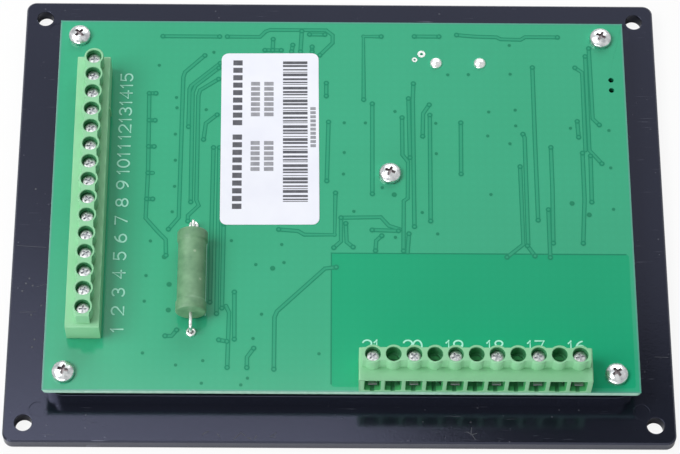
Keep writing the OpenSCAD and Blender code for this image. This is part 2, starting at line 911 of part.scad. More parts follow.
module pin_joint(w, t) {
    mirror([0, 0, 1])
        difference() {
            cylinder(d1 = pin_joint_d, d2 = pin_hole_d * 0.95, h = pin_out * 0.7);
            translate([-w / 2, -t / 2, -1])
                cube([w, t, pin_out + 2]);
        }
}

module pin_solder_joints() {
    color("#d5d8d8")
        for (i = side_ways)
            translate([side_x + pin_back, side_y - i * way_pitch, board_z])
                pin_joint(pin_t, pin_w);
    color("#d5d8d8")
        for (i = loaded_ways)
            translate([lower_x + i * way_pitch, lower_y + pin_back, board_z])
                pin_joint(pin_w, pin_t);
}

// Power resistor

module power_resistor() {
    color("#7f9b76")
        translate([tube_x, tube_y, tube_z])
            rotate([90, 0, 0])
                rotate_extrude()
                    polygon([
                        [0, -tube_len / 2],
                        [cap_d / 2 - cap_round, -tube_len / 2],
                        [cap_d / 2, -tube_len / 2 + cap_round],
                        [cap_d / 2, -tube_len / 2 + cap_len],
                        [tube_d / 2, -tube_len / 2 + cap_len + (cap_d - tube_d) / 2],
                        [tube_d / 2, tube_len / 2 - cap_len - (cap_d - tube_d) / 2],
                        [cap_d / 2, tube_len / 2 - cap_len],
                        [cap_d / 2, tube_len / 2 - cap_round],
                        [cap_d / 2 - cap_round, tube_len / 2],
                        [0, tube_len / 2],
                    ]);
}

module resistor_leads() {
    color("#cfd2cf")
        for (a = [90, -90])
            translate([tube_x, tube_y, tube_z])
                rotate(a)
                    translate([tube_len / 2, 0, 0])
                        formed_lead(tube_lead_d, tube_lead_run, tube_lead_r, cap_d / 2 + lead_end);
}

module lead_solder_joints() {
    color("#dfe3e2")
        for (s = [-1, 1])
            translate([tube_x, tube_y + s * lead_hole_y, board_top])
                difference() {
                    cylinder(d1 = joint_d, d2 = tube_lead_d * 1.5, h = joint_h);
                    translate([0, 0, -1])
                        cylinder(d = tube_lead_d, h = joint_h + 2);
                }
}

module id_label() {
    color("#f1f1f6")
        translate([label_x, label_y, board_top])
            rotate(label_slant)
                plate(label_w, label_len, label_t, label_r);
}

// Parts under the board

module microcontroller() {
    color("#26282c")
        under(chip_x, chip_y)
            translate([0, 0, chip_lift])
                difference() {
                    translate([-chip_w / 2, -chip_w / 2, 0])
                        cube([chip_w, chip_w, chip_h]);
                    translate([
                        -chip_w / 2 + chip_mark_inset,
                        chip_w / 2 - chip_mark_inset,
                        chip_h - chip_mark_depth,
                    ])
                        cylinder(d = chip_mark_d, h = chip_h);
                }
}

module microcontroller_legs() {
    color("#c4c8c8")
        under(chip_x, chip_y)
            for (a = [0 : 90 : 270])
                rotate(a)
                    for (i = [0 : leg_count - 1])
                        translate([
                            chip_w / 2,
                            (i - (leg_count - 1) / 2) * leg_pitch + leg_w / 2,
                            0,
                        ])
                            rotate([90, 0, 0])
                                linear_extrude(leg_w)
                                    polygon([
                                        [0, chip_h / 2],
                                        [leg_run * 0.35, chip_h / 2],
                                        [leg_run * 0.5, 0],
                                        [leg_run, 0],
                                        [leg_run, leg_t],
                                        [leg_run * 0.5 + leg_t, leg_t],
                                        [leg_run * 0.35 + leg_t, chip_h / 2 + leg_t],
                                        [0, chip_h / 2 + leg_t],
                                    ]);
}

module timing_crystal() {
    color("#d4d6d8")
        under(chip_x, crystal_y) {
            plate(crystal_w, crystal_d, crystal_rim, crystal_d * 0.45);
            plate(
                crystal_w - 2 * crystal_rim,
                crystal_d - 2 * crystal_rim,
                crystal_h,
                crystal_d * 0.45 - crystal_rim
            );
        }
}

module supply_regulator() {
    color("#2a2c30")
        under(reg_x, reg_y)
            power_part(reg_w, reg_d, reg_h);
}

module smoothing_capacitor() {
    foot = can_d / 2;
    can = can_d / 2 - can_step;
    groove_z = can_foot_h + 2 * can_groove;
    linear_extrude(can_foot_h)
        polygon([
            [-foot, -foot],
            [foot - can_foot_cut, -foot],
            [foot, -foot + can_foot_cut],
            [foot, foot - can_foot_cut],
            [foot - can_foot_cut, foot],
            [-foot, foot],
        ]);
    rotate_extrude()
        polygon([
            [0, 0],
            [can, 0],
            [can, groove_z - can_groove],
            [can - can_groove, groove_z],
            [can, groove_z + can_groove],
            [can, can_h - can_groove],
            [can - can_groove, can_h],
            [0, can_h],
        ]);
}

module smoothing_capacitors() {
    color("#b9bec6")
        for (i = [0, 1])
            under(can_x, can_y - i * can_pitch)
                smoothing_capacitor();
}

module output_transistors() {
    color("#2a2c30")
        for (i = [0 : 3])
            under(fet_x + i * fet_pitch, fet_y)
                power_part(fet_w, fet_d, fet_h);
}

module protection_diode() {
    color("#2b2b2e")
        under(diode_x, diode_y)
            translate([0, 0, diode_z])
                rotate([0, 90, 0])
                    rotate_extrude()
                        polygon([
                            [0, -diode_len / 2],
                            [diode_d / 2 - diode_chamfer, -diode_len / 2],
                            [diode_d / 2, -diode_len / 2 + diode_chamfer],
                            [diode_d / 2, diode_len / 2 - diode_chamfer],
                            [diode_d / 2 - diode_chamfer, diode_len / 2],
                            [0, diode_len / 2],
                        ]);
}

module diode_leads() {
    color("#cfd2cf")
        under(diode_x, diode_y)
            translate([0, 0, diode_z])
                for (a = [0, 180])
                    rotate(a)
                        translate([diode_len / 2, 0, 0])
                            formed_lead(
                                diode_lead_d,
                                (diode_pitch - diode_len) / 2,
                                diode_lead_r,
                                diode_z + board_t + bead_h * 0.6
                            );
}

module diode_solder_joints() {
    color("#dfe3e2")
        for (s = [-1, 1])
            translate([diode_x + s * diode_pitch / 2, diode_y, board_top])
                difference() {
                    rotate_extrude()
                        polygon([
                            [0, 0],
                            [bead_d / 2, 0],
                            [bead_d * 0.45, bead_h * 0.5],
                            [bead_d * 0.32, bead_h * 0.85],
                            [bead_d * 0.18, bead_h],
                            [0, bead_h],
                        ]);
                    translate([0, 0, -1])
                        cylinder(d = diode_lead_d, h = 1 + bead_h * 0.6);
                }
}

bezel_housing();
fascia_film();
stop_key();
manual_key();
auto_key();
key_switches();
indicator_lamps();
light_pipes();
circuit_board();
board_screws();
side_terminal_body();
side_clamp_screws();
side_clamp_cages();
side_contact_pins();
lower_terminal_body();
lower_clamp_screws();
lower_clamp_cages();
lower_contact_pins();
pin_solder_joints();
power_resistor();
resistor_leads();
lead_solder_joints();
id_label();
microcontroller();
microcontroller_legs();
timing_crystal();
supply_regulator();
smoothing_capacitors();
output_transistors();
protection_diode();
diode_leads();
diode_solder_joints();
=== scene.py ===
# %% [markdown]
# # An engine generator controller, wiring side up
# The part is a panel controller that lies on its face, so that the viewer looks at the circuit board,
# its two green terminal blocks, a power resistor and a white label. The CAD model already holds every
# solid in its place. This script dresses those solids: it rounds edges, prints the board, adds the
# finishes, and sets the light and the camera. Lengths are written in millimetres and turned to metres.

# %% Load the frame
import math

import bmesh
import bpy
from mathutils import Matrix, Vector
from mathutils.bvhtree import BVHTree


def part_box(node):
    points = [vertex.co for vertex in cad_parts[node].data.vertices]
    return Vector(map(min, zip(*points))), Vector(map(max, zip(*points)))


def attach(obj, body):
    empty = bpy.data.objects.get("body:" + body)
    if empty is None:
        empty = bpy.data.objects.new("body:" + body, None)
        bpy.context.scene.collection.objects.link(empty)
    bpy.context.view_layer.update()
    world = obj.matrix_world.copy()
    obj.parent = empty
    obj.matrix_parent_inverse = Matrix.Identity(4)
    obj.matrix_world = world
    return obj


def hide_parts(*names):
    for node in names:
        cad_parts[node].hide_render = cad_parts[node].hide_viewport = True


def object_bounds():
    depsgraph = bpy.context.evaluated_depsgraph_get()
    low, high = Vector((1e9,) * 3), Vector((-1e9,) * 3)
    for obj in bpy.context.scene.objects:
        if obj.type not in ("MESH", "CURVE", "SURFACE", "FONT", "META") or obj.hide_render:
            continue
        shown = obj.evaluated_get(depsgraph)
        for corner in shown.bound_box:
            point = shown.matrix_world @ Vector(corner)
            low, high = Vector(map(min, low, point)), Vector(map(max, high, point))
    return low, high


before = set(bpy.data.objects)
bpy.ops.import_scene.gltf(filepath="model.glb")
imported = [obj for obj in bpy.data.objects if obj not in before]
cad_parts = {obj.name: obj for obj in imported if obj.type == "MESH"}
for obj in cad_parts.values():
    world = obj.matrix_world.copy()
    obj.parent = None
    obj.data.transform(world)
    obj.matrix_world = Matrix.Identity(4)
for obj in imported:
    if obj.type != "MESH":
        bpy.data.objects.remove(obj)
cad_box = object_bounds()
MM = 0.001
BODY = "controller"
# The flange is all there is near the part's outer edge, so the highest point there is its rear face
outer_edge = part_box("bezel_housing")[0][0] + MM
housing_points = [vertex.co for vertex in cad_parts["bezel_housing"].data.vertices]
FLANGE_TOP = max(point.z for point in housing_points if point.x < outer_edge) / MM
print("nodes:", len(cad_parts), "box:", [tuple(round(v / MM, 2) for v in p) for p in cad_box])

# %% [markdown]
# ## Helpers for finishes
# A shader takes linear colour, but a colour is easiest to write down as the sRGB hex code that a paint
# program shows, so one function turns the code. Two more add a node and fill its inputs: an input that is
# given a socket is linked, and any other value is set on the input itself. On top of these, short functions
# make the nodes that every finish needs: noise, a change of range, a blend of two colours and bump.

# %% Colour and node helpers


def hex_colour(code):
    """An sRGB hex code as the linear colour that a socket takes."""
    channels = [int(code[i:i + 2], 16) / 255 for i in (1, 3, 5)]
    linear = [c / 12.92 if c <= 0.04045 else ((c + 0.055) / 1.055) ** 2.4 for c in channels]
    return (*linear, 1.0)


def put(tree, node, inputs):
    """Links or sets each input of a node."""
    for key, value in inputs.items():
        if isinstance(value, bpy.types.NodeSocket):
            tree.links.new(value, node.inputs[key])
        else:
            node.inputs[key].default_value = value
    return node


def add(tree, kind, inputs=None, **settings):
    """One new node with its settings, its input values and its links."""
    node = tree.nodes.new(kind)
    for name, value in settings.items():
        setattr(node, name, value)
    return put(tree, node, inputs or {})


def per_mm(size):
    """The texture scale at which one cell of a pattern is this many millimetres wide."""
    return 1 / (size * MM)


def noise(tree, place, size, detail):
    """Soft noise with patches this many millimetres wide."""
    settings = {"Vector": place, "Scale": per_mm(size), "Detail": detail}
    return add(tree, "ShaderNodeTexNoise", settings).outputs[0]


def remap(tree, value, low, high, start=0.0, end=1.0):
    """A value's range from low to high, stretched to the range from start to end."""
    return add(tree, "ShaderNodeMapRange", {0: value, 1: low, 2: high, 3: start, 4: end}).outputs[0]


def merge(tree, operation, first, second):
    """Two values joined by an arithmetic operation."""
    return add(tree, "ShaderNodeMath", {0: first, 1: second}, operation=operation).outputs[0]


def blend(tree, share, first, second, **settings):
    """A colour between two others, each a hex code or a socket."""
    first, second = (hex_colour(end) if isinstance(end, str) else end for end in (first, second))
    mix = add(tree, "ShaderNodeMix", {0: share, 6: first, 7: second}, data_type="RGBA", **settings)
    return mix.outputs[2]


def bump(tree, pattern, height, strength=1.0):
    """The normals of a surface that a pattern lifts by this many millimetres."""
    settings = {"Strength": strength, "Distance": height * MM, "Height": pattern}
    return add(tree, "ShaderNodeBump", settings).outputs["Normal"]


def new_finish(name, roughness, metallic=0.0):
    """A material with its tree, its shader and the Object coordinates that its patterns follow."""
    material = bpy.data.materials.new(name)
    material.use_nodes = True
    tree = material.node_tree
    shader = put(tree, tree.nodes["Principled BSDF"], {"Roughness": roughness, "Metallic": metallic})
    return material, tree, shader, add(tree, "ShaderNodeTexCoord").outputs["Object"]


print("white as linear:", hex_colour("#ffffff"))

# %% [markdown]
# ## A finish in two close tones
# Most small parts here are one material with a slight drift of colour and a fine grain: plated screws,
# tinned wire, epoxy packages, moulded keys. One function builds that kind of finish from real sizes: how
# wide the patches are, how wide the grain is and how high it stands.

# %% Two-tone finishes
GLOSS_SWING = 0.1


def two_tone(name, first, second, patch, grain, height, roughness, metallic=0.0):
    """Colour drifts from first to second over patches; the grain lifts the surface and its gloss."""
    material, tree, shader, place = new_finish(name, roughness, metallic)
    spread = remap(tree, noise(tree, place, patch, 3.0), 0.35, 0.65)
    grains = noise(tree, place, grain, 2.0)
    look = {
        "Base Color": blend(tree, spread, first, second),
        "Roughness": remap(tree, grains, 0, 1, roughness - GLOSS_SWING, roughness + GLOSS_SWING),
        "Normal": bump(tree, grains, height),
    }
    put(tree, shader, look)
    return material


# Bright zinc plate on steel: cool, with a soft sheen and slight cloudiness
zinc_plate = two_tone("zinc-plated steel, bright", "#e9ebec", "#b9bdc0", 1.1, 0.3, 0.02, 0.26, 1.0)
# Nickel plate on the clamp screws: whiter, with small handling marks
nickel_screw = two_tone("nickel-plated steel, tumbled", "#eef1f0", "#aeb4b4", 0.7, 0.25, 0.02, 0.32, 1.0)
# Nickel plate on the brass cages: warmer and duller
nickel_cage = two_tone("nickel-plated brass, pressed", "#b9b8a4", "#9d9d8b", 1.0, 0.3, 0.02, 0.4, 1.0)
# The bottom of a driver's recess: darker and dull, partly grime and thin plating, partly painted shade
# where the light dies out in the recess
grimy_shaded_plate = (0.2, 0.02, 0.5, 1.0)
recess_zinc_grime_and_shade = two_tone("zinc plate in a driver recess, grimy, painted shade", "#857d80", "#b0a9ab", 0.6, *grimy_shaded_plate)
recess_nickel_grime_and_shade = two_tone("nickel plate in a driver recess, dull, painted shade", "#b2b4b8", "#d4d6da", 0.5, *grimy_shaded_plate)
# Tin on copper wire and pins: pale, slightly frosted
tinned_wire = two_tone("tinned copper, drawn", "#eceded", "#d3d5d2", 0.8, 0.2, 0.01, 0.34, 1.0)
# Solder: bright where it flowed, frosted where it set
solder = two_tone("tin solder, reflowed", "#f6f8f7", "#dde1df", 0.6, 0.35, 0.02, 0.28, 1.0)
# Drawn aluminium cans and the crystal's nickel can
aluminium = two_tone("drawn aluminium, satin", "#c3c7cc", "#aeb3b9", 2.0, 0.3, 0.01, 0.36, 1.0)
# Moulded epoxy: near black, finely matt
epoxy = two_tone("moulded epoxy, matt black", "#232428", "#2c2d31", 2.0, 0.25, 0.02, 0.62)
# Switch bodies in black nylon
nylon = two_tone("moulded nylon, black", "#2c2e33", "#34363b", 1.5, 0.2, 0.02, 0.5)
# Lamp resin: milky cream
lamp_resin = two_tone("cast lamp resin, milky", "#f2efe2", "#e6e2d0", 1.0, 0.2, 0.01, 0.3)
# The three keys: moulded with a fine spark-eroded grain
key_red = two_tone("moulded ABS, red, fine grain", "#b3322c", "#a62c27", 6.0, 0.35, 0.03, 0.45)
key_grey = two_tone("moulded ABS, light grey, fine grain", "#c9cbd0", "#bfc1c6", 6.0, 0.35, 0.03, 0.45)
key_green = two_tone("moulded ABS, green, fine grain", "#4c8f5a", "#448452", 6.0, 0.35, 0.03, 0.45)
# Front film: polyester printed from behind, with a velvet texture on its face
film = two_tone("polyester film, velvet, dark grey", "#484c55", "#50545d", 20.0, 0.4, 0.02, 0.55)
print("two-tone finishes:", len(bpy.data.materials))

# %% [markdown]
# ## Black moulded plastic
# The housing is satin ABS. It looks blue-grey where it mirrors the bright room and near black where it
# doesn't, so the colour itself stays dark. Handling has left fine pale scuffs that run mostly along the
# flange, and specks of dust. Both are patterns in the shader: stretched noise for the scuffs, and the
# middles of scattered cells for the dust. The wall under the board is out of reach and has neither.

# %% Housing finish


def black_abs(name, dark, pale):
    """Satin black ABS with spark-eroded grain, scuffs and dust; its tone drifts from dark to pale."""
    # In millimetres: patches of tone, worn areas, a scuff's length and width, dust cells, grain
    patch, area, scuff_len, scuff_w, cell, grain = 35, 24, 9, 0.5, 2.6, 0.5
    # Wear fades out between these heights above the flange
    worn_below, fades_above = 0.2, 0.6
    material, tree, shader, place = new_finish(name, 0.2)
    tone = blend(tree, noise(tree, place, patch, 2.0), dark, pale)
    stretch = {
        "Vector": place,
        "Rotation": (0, 0, math.radians(12)),
        "Scale": (per_mm(scuff_len), per_mm(scuff_w), per_mm(5)),
    }
    along = add(tree, "ShaderNodeMapping", stretch).outputs[0]
    streaks = add(tree, "ShaderNodeTexNoise", {"Vector": along, "Scale": 1.0, "Detail": 3.0}).outputs[0]
    level = add(tree, "ShaderNodeSeparateXYZ", {"Vector": place}).outputs["Z"]
    reached = remap(tree, level, (FLANGE_TOP + fades_above) * MM, (FLANGE_TOP + worn_below) * MM)
    worn = merge(tree, "MULTIPLY", remap(tree, noise(tree, place, area, 1.0), 0.47, 0.62), reached)
    scuff = merge(tree, "MULTIPLY", remap(tree, streaks, 0.67, 0.76), worn)
    cells = add(tree, "ShaderNodeTexVoronoi", {"Vector": place, "Scale": per_mm(cell)})
    dust = merge(tree, "MULTIPLY", remap(tree, cells.outputs["Distance"], 0.11, 0.05), worn)
    share = merge(tree, "MULTIPLY", merge(tree, "MAXIMUM", scuff, dust), 0.4)
    look = {
        "Base Color": blend(tree, share, tone, "#77787f"),
        "Roughness": remap(tree, scuff, 0, 1, 0.15, 0.45),
        "Specular IOR Level": 0.7,
        "Specular Tint": hex_colour("#d2d7ff"),
        "Normal": bump(tree, noise(tree, place, grain, 2.0), 0.02, 0.5),
    }
    put(tree, shader, look)
    return material


housing_finish = black_abs("moulded ABS, satin black, scuffed", "#12151d", "#191c26")
# The outer edge has slid over many tables, and the plastic there is rubbed pale
rubbed_finish = black_abs("moulded ABS, black, rubbed edge", "#24272f", "#31343d")
# A scratch lays bare dull, torn plastic
scratched = two_tone("scratched ABS, dull grey", "#3f4149", "#4e5058", 0.8, 0.2, 0.01, 0.65)
print("made:", housing_finish.name, "and", rubbed_finish.name)

# %% [markdown]
# ## Solder mask, laminate and ink
# The board is glass-cloth laminate with copper on it, under a coat of glossy green lacquer. Over the
# copper the lacquer is pale. Where the copper is etched away, along each track and under the power
# terminals, it looks darker. The cut edges show bare laminate. The same function makes both greens: it
# adds the faint squares of the glass cloth, drawn coarser than the real half millimetre so that they
# show, and the slow waviness of a screen-printed coat.

# %% Board finishes
# A wave texture of scale 1 draws about this many light and dark bands in one unit
WAVE_BANDS = 6.28


def solder_mask(name, first, second, sheen=0.5):
    """Glossy green lacquer over glass cloth."""
    # In millimetres: patches of tone, threads of the cloth, waves in the coat
    patch, thread, wave = 30, 1.1, 4
    material, tree, shader, place = new_finish(name, 0.13)
    tone = blend(tree, noise(tree, place, patch, 3.0), first, second)
    bands = {"Vector": place, "Scale": per_mm(thread) / WAVE_BANDS}
    warp = add(tree, "ShaderNodeTexWave", bands).outputs[1]
    weft = add(tree, "ShaderNodeTexWave", bands, bands_direction="Y").outputs[1]
    cloth = remap(tree, merge(tree, "MULTIPLY", warp, weft), 0, 1, 0.99, 1.01)
    look = {
        "Base Color": blend(tree, 1.0, tone, cloth, blend_type="MULTIPLY"),
        "Specular IOR Level": sheen,
        "Normal": bump(tree, noise(tree, place, wave, 2.0), 0.02, 0.3),
    }
    put(tree, shader, look)
    return material


mask_on_copper = solder_mask("solder mask on copper, glossy pale green", "#30a97d", "#38b087")
mask_on_laminate = solder_mask("solder mask on bare laminate, glossy green", "#1ba676", "#21aa7c", 0.25)
mask_in_gap = solder_mask("solder mask in the etched gaps, deep green", "#1b8a66", "#21906c", 0.25)
# At the rim a pale green: partly thin mask over pale laminate, partly a painted highlight of the cut edge
rim_mask_and_highlight = solder_mask("thin solder mask at the rim, pale green", "#55a38d", "#5ca994")
mask_in_hole = solder_mask("solder mask in a filled hole, dark green", "#1f8863", "#258e69", 0.25)
mask_on_track = solder_mask("solder mask on a track, mid green", "#2a9f77", "#30a57e", 0.4)
# Sawn laminate: pale, dry, with the cloth's layers along the cut
laminate_edge = two_tone("sawn glass laminate, pale green", "#b4dccb", "#9fcfba", 1.5, 0.3, 0.02, 0.7)
# Screen-printed ink: chalky white, with the lacquer's green in it
silkscreen = two_tone("screen-printed ink, chalky white", "#a4ecd3", "#b2f2dd", 1.0, 0.3, 0.01, 0.6)
print("board finishes ready")

# %% [markdown]
# ## Terminal plastic, resistor enamel and label vinyl
# The terminal blocks are moulded polyamide, slightly waxy. The resistor is dipped in a cement-like enamel
# that dries uneven, with small pale chips. The label is white vinyl with print in two greys.

# %% Block, resistor and label finishes
# The two darker greens are painted shade on the block's own polyamide: deep in the wells and chambers,
# lighter in the wire mouths
terminal_well_shade = two_tone("moulded polyamide, inner walls, painted shade", "#4a9a68", "#54a573", 9.0, 0.5, 0.03, 0.6)
terminal_mouth_shade = two_tone("moulded polyamide, mouth walls, painted shade", "#4cb26c", "#55ba75", 9.0, 0.5, 0.03, 0.6)
# The inner and mouth walls have little shine, as part of their painted shade
SHADE_SHINE = 0.12
for inner in (terminal_well_shade, terminal_mouth_shade):
    inner.node_tree.nodes["Principled BSDF"].inputs["Specular IOR Level"].default_value = SHADE_SHINE
terminal_green = two_tone("moulded polyamide, light green", "#89ca9a", "#92d0a2", 9.0, 0.5, 0.03, 0.46)
print_dark = two_tone("thermal print, dark grey", "#4a4b53", "#585961", 1.2, 0.3, 0.005, 0.6)
print_grey = two_tone("thermal print, mid grey", "#8f9098", "#9d9ea5", 1.2, 0.3, 0.005, 0.6)
vinyl = two_tone("label vinyl, satin white", "#eef0fb", "#f4f6ff", 12.0, 0.8, 0.02, 0.42)


def resistor_enamel():
    """Khaki enamel with mottling and pale chips."""
    # In millimetres: mottling, cells with a chip in the middle, grain
    mottle, cell, grain = 2.2, 4.5, 0.9
    material, tree, shader, place = new_finish("dipped enamel, khaki green, satin", 0.42)
    spread = remap(tree, noise(tree, place, mottle, 4.0), 0.3, 0.7)
    tone = blend(tree, spread, "#5f8c68", "#77a27c")
    cells = add(tree, "ShaderNodeTexVoronoi", {"Vector": place, "Scale": per_mm(cell)})
    chip = remap(tree, cells.outputs["Distance"], 0.1, 0.05, 0, 0.4)
    look = {
        "Base Color": blend(tree, chip, tone, "#c3d1b8"),
        "Normal": bump(tree, noise(tree, place, grain, 3.0), 0.08, 0.6),
    }
    put(tree, shader, look)
    return material


def clear_acrylic():
    """Moulded acrylic of the light pipes: clear, with faint flow lines."""
    material, tree, shader, place = new_finish("moulded acrylic, clear", 0.12)
    flow = blend(tree, noise(tree, place, 1.5, 2.0), "#dfe6ea", "#f3f6f8")
    put(tree, shader, {"Base Color": flow, "Transmission Weight": 0.9, "IOR": 1.49})
    return material


enamel = resistor_enamel()
acrylic = clear_acrylic()
print("made:", enamel.name, "and", acrylic.name)

# %% [markdown]
# ## Helpers for pieces
# A finished piece sits at the origin with its place in its mesh. The first helper turns a bmesh into such
# an object, the second applies modifiers, and the third ties the piece to the frame: which body it rides
# on and which CAD solids it stands for and hides.

# %% Piece helpers


def new_piece(name, shape, *finishes):
    """The bmesh as an object at the origin."""
    mesh = bpy.data.meshes.new(name)
    shape.to_mesh(mesh)
    shape.free()
    for finish in finishes:
        mesh.materials.append(finish)
    piece = bpy.data.objects.new(name, mesh)
    bpy.context.collection.objects.link(piece)
    return piece


def applied(piece):
    """The piece with its modifiers turned into plain mesh."""
    graph = bpy.context.evaluated_depsgraph_get()
    mesh = bpy.data.meshes.new_from_object(piece.evaluated_get(graph))
    piece.modifiers.clear()
    piece.data = mesh
    return piece


def smooth(piece, angle=35):
    """Smooth shading, with edges over the angle left sharp."""
    piece.data.shade_smooth()
    piece.data.set_sharp_from_angle(angle=math.radians(angle))


def fit(piece, slot, *nodes, body=BODY):
    """Ties a piece to its body and hides the solids that it stands for; the finish slot is not used."""
    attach(piece, body)
    if nodes:
        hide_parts(*nodes)
    print(piece.name, len(piece.data.polygons), "faces")


# %% [markdown]
# ## Rounded edges on the main solids
# Real moulded and cut edges are never knife-sharp, and the thin bright line along them is what makes a
# part look real. A CAD mesh is loose triangles, so a copy is merged and its flat areas are joined first.
# Then a Bevel modifier rounds the edges by a weight: full on steep outer edges, less beside a thin wall,
# where two full rounds would run into each other, and none on the facets of a curve. A Weighted Normal
# modifier lets the large faces set the shading, so that they stay flat right up to the rounded edge.
#
# Deep in the terminal wells hardly any light arrives, and what does has bounced off green walls several
# times, so they look far darker and greener than the outside. Darker finishes stand in for those bounces:
# one for the wells and chambers, and a lighter one for the wire mouths. A face gets one of them if level
# looks from it, in eight directions, meet the same moulding again.

# %% Soften a copy of a CAD solid
WELD = 0.0005 * MM
FLAT = math.radians(0.4)
STEEP = math.radians(55)
# A face this many radii wide, or wider, takes a full round
ROOMY = 2.5


def weigh_edges(shape, radius, where):
    """A bevel weight on each steep outer edge, lowered where the face beside it is narrow."""
    weights = shape.edges.layers.float.new("bevel_weight_edge")
    for edge in shape.edges:
        chosen = where is None or all(where(vertex.co) for vertex in edge.verts)
        if chosen and edge.is_convex and edge.calc_face_angle(0) > STEEP:
            room = min(face.calc_area() for face in edge.link_faces) / edge.calc_length()
            edge[weights] = min(1, room / (ROOMY * radius * MM))


def softened(node, name, radius, *finishes, where=None):
    """A merged copy of a CAD solid with its steep edges rounded, or only those where a test holds."""
    shape = bmesh.new()
    shape.from_mesh(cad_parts[node].data)
    bmesh.ops.remove_doubles(shape, verts=shape.verts, dist=WELD)
    bmesh.ops.dissolve_limit(shape, angle_limit=FLAT, verts=shape.verts, edges=shape.edges)
    weigh_edges(shape, radius, where)
    piece = new_piece(name, shape, *finishes)
    edges = piece.modifiers.new("edges", "BEVEL")
    edges.width = radius * MM
    edges.segments = 2
    edges.limit_method = "WEIGHT"
    edges.use_clamp_overlap = False
    applied(piece)
    smooth(piece)
    level = piece.modifiers.new("flat faces", "WEIGHTED_NORMAL")
    level.keep_sharp = True
    return applied(piece)


def level_directions(count):
    """Unit vectors that lie level, spread evenly over a full turn."""
    angles = [math.tau * i / count for i in range(count)]
    return [Vector((math.cos(a), math.sin(a), 0)) for a in angles]


LOOKS = level_directions(8)
# A look starts this far off its own face, in millimetres
OFF_FACE = 0.02


def widest_triangles(mesh):
    """The largest triangle of each face: its middle lies on the face even where that is concave."""
    mesh.calc_loop_triangles()
    widest = {}
    for triangle in mesh.loop_triangles:
        known = widest.get(triangle.polygon_index)
        if known is None or triangle.area > known.area:
            widest[triangle.polygon_index] = triangle
    return widest


def mark_wells(piece, reach=5.0, rim=0.3, flare=1.6):
    """Gives the second finish, painted deep shade, to the inside of a terminal block and the third, painted
    lighter shade, to its wire mouths.

    The outside, a rim deep, keeps its own. Above the ledge, which is the widest face that looks up, a point
    in a well has a wall on every side. Under it, a point in a mouth or a chamber has one on half of them.
    """
    mesh = piece.data
    widest = widest_triangles(mesh)
    points = [v.co for v in mesh.vertices]
    walls = BVHTree.FromPolygons(points, [t.vertices for t in mesh.loop_triangles])
    low = [min(p[i] for p in points) for i in range(3)]
    high = [max(p[i] for p in points) for i in range(3)]
    ledge = max((f.area, f.center.z) for f in mesh.polygons if f.normal.z > 0.99)[1]
    for index, triangle in widest.items():
        face = mesh.polygons[index]
        start = sum((points[i] for i in triangle.vertices), Vector()) / 3 + face.normal * OFF_FACE * MM
        to_side = min(min(start[i] - low[i], high[i] - start[i]) for i in (0, 1))
        if to_side < rim * MM or not low[2] < start.z < high[2] - rim * MM:
            continue
        under = start.z < ledge - rim * MM
        stopped = sum(walls.ray_cast(start, look, reach * MM)[0] is not None for look in LOOKS)
        if stopped >= (len(LOOKS) / 2 if under else len(LOOKS)):
            face.material_index = 2 if under and to_side < flare * MM else 1
    return [sum(f.material_index == i for f in mesh.polygons) for i in (1, 2)]


HOUSING_ROUND = 0.15
BLOCK_ROUND = 0.12
KEY_ROUND = 0.3
EDGE_DEPTH = 0.35
# Upward share of a face's direction: under the first it looks to the side, over the second up or down
SIDEWAYS, LEVEL = 0.8, 0.9
housing = softened("bezel_housing", "housing_moulding", HOUSING_ROUND, housing_finish, rubbed_finish)
for face in housing.data.polygons:
    gaps = [min(face.center[i] - cad_box[0][i], cad_box[1][i] - face.center[i]) for i in (0, 1)]
    if min(gaps) < EDGE_DEPTH * MM and abs(face.normal.z) < SIDEWAYS:
        face.material_index = 1
fit(housing, "black_housing", "bezel_housing")
block_finishes = (terminal_green, terminal_well_shade, terminal_mouth_shade)
for edge in ("side", "lower"):
    block = softened(f"{edge}_terminal_body", f"{edge}_block_moulding", BLOCK_ROUND, *block_finishes)
    print("inner and mouth faces:", mark_wells(block))
    fit(block, "terminal_green", f"{edge}_terminal_body")
KEYS = {"stop": ("red_key", key_red), "manual": ("grey_key", key_grey), "auto": ("green_key", key_green)}
for key, (slot, finish) in KEYS.items():
    cap = softened(f"{key}_key", f"{key}_key_cap", KEY_ROUND, finish)
    fit(cap, slot, f"{key}_key", body=f"{key}_button")

# %% [markdown]
# ## The board and its cut edge
# The board is the same softened copy, but only its rim is rounded, and it has three finishes: green lacquer
# on the two large faces, bare laminate on the sawn sides, and a dark one in the holes. Each face takes the
# one that its direction and its place ask for.

# %% Board
board_low, board_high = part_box("circuit_board")
BOARD_TOP = board_high[2] / MM
BOARD_ROUND = 0.2
EDGE_W = 0.6


def at_rim(point):
    """Whether a point lies on the board's outer edge, and not in one of its holes."""
    gaps = [min(point[i] - board_low[i], board_high[i] - point[i]) for i in (0, 1)]
    return min(gaps) < EDGE_W * MM


board_finishes = (mask_on_copper, laminate_edge, mask_in_gap)
board = softened("circuit_board", "lacquered_board", BOARD_ROUND, *board_finishes, where=at_rim)
for face in board.data.polygons:
    if abs(face.normal.z) < LEVEL:
        face.material_index = 1 if at_rim(face.center) else 2
fit(board, "board_laminate", "circuit_board")
print("board top at", round(BOARD_TOP, 2), "mm")

# %% [markdown]
# ## Ribbons that follow a path
# Tracks, the etched gaps beside them and the strokes of printed numerals are all the same thing: a flat
# ribbon of constant width along a path, with round ends and round corners. Modelling each by hand would
# be slow. A Geometry Nodes tree sweeps a thin rectangle along every edge chain of a mesh, sets a disc on
# every point, and joins the two. Three trees in this script start and end alike, so those parts come first.

# %% Ribbon tree


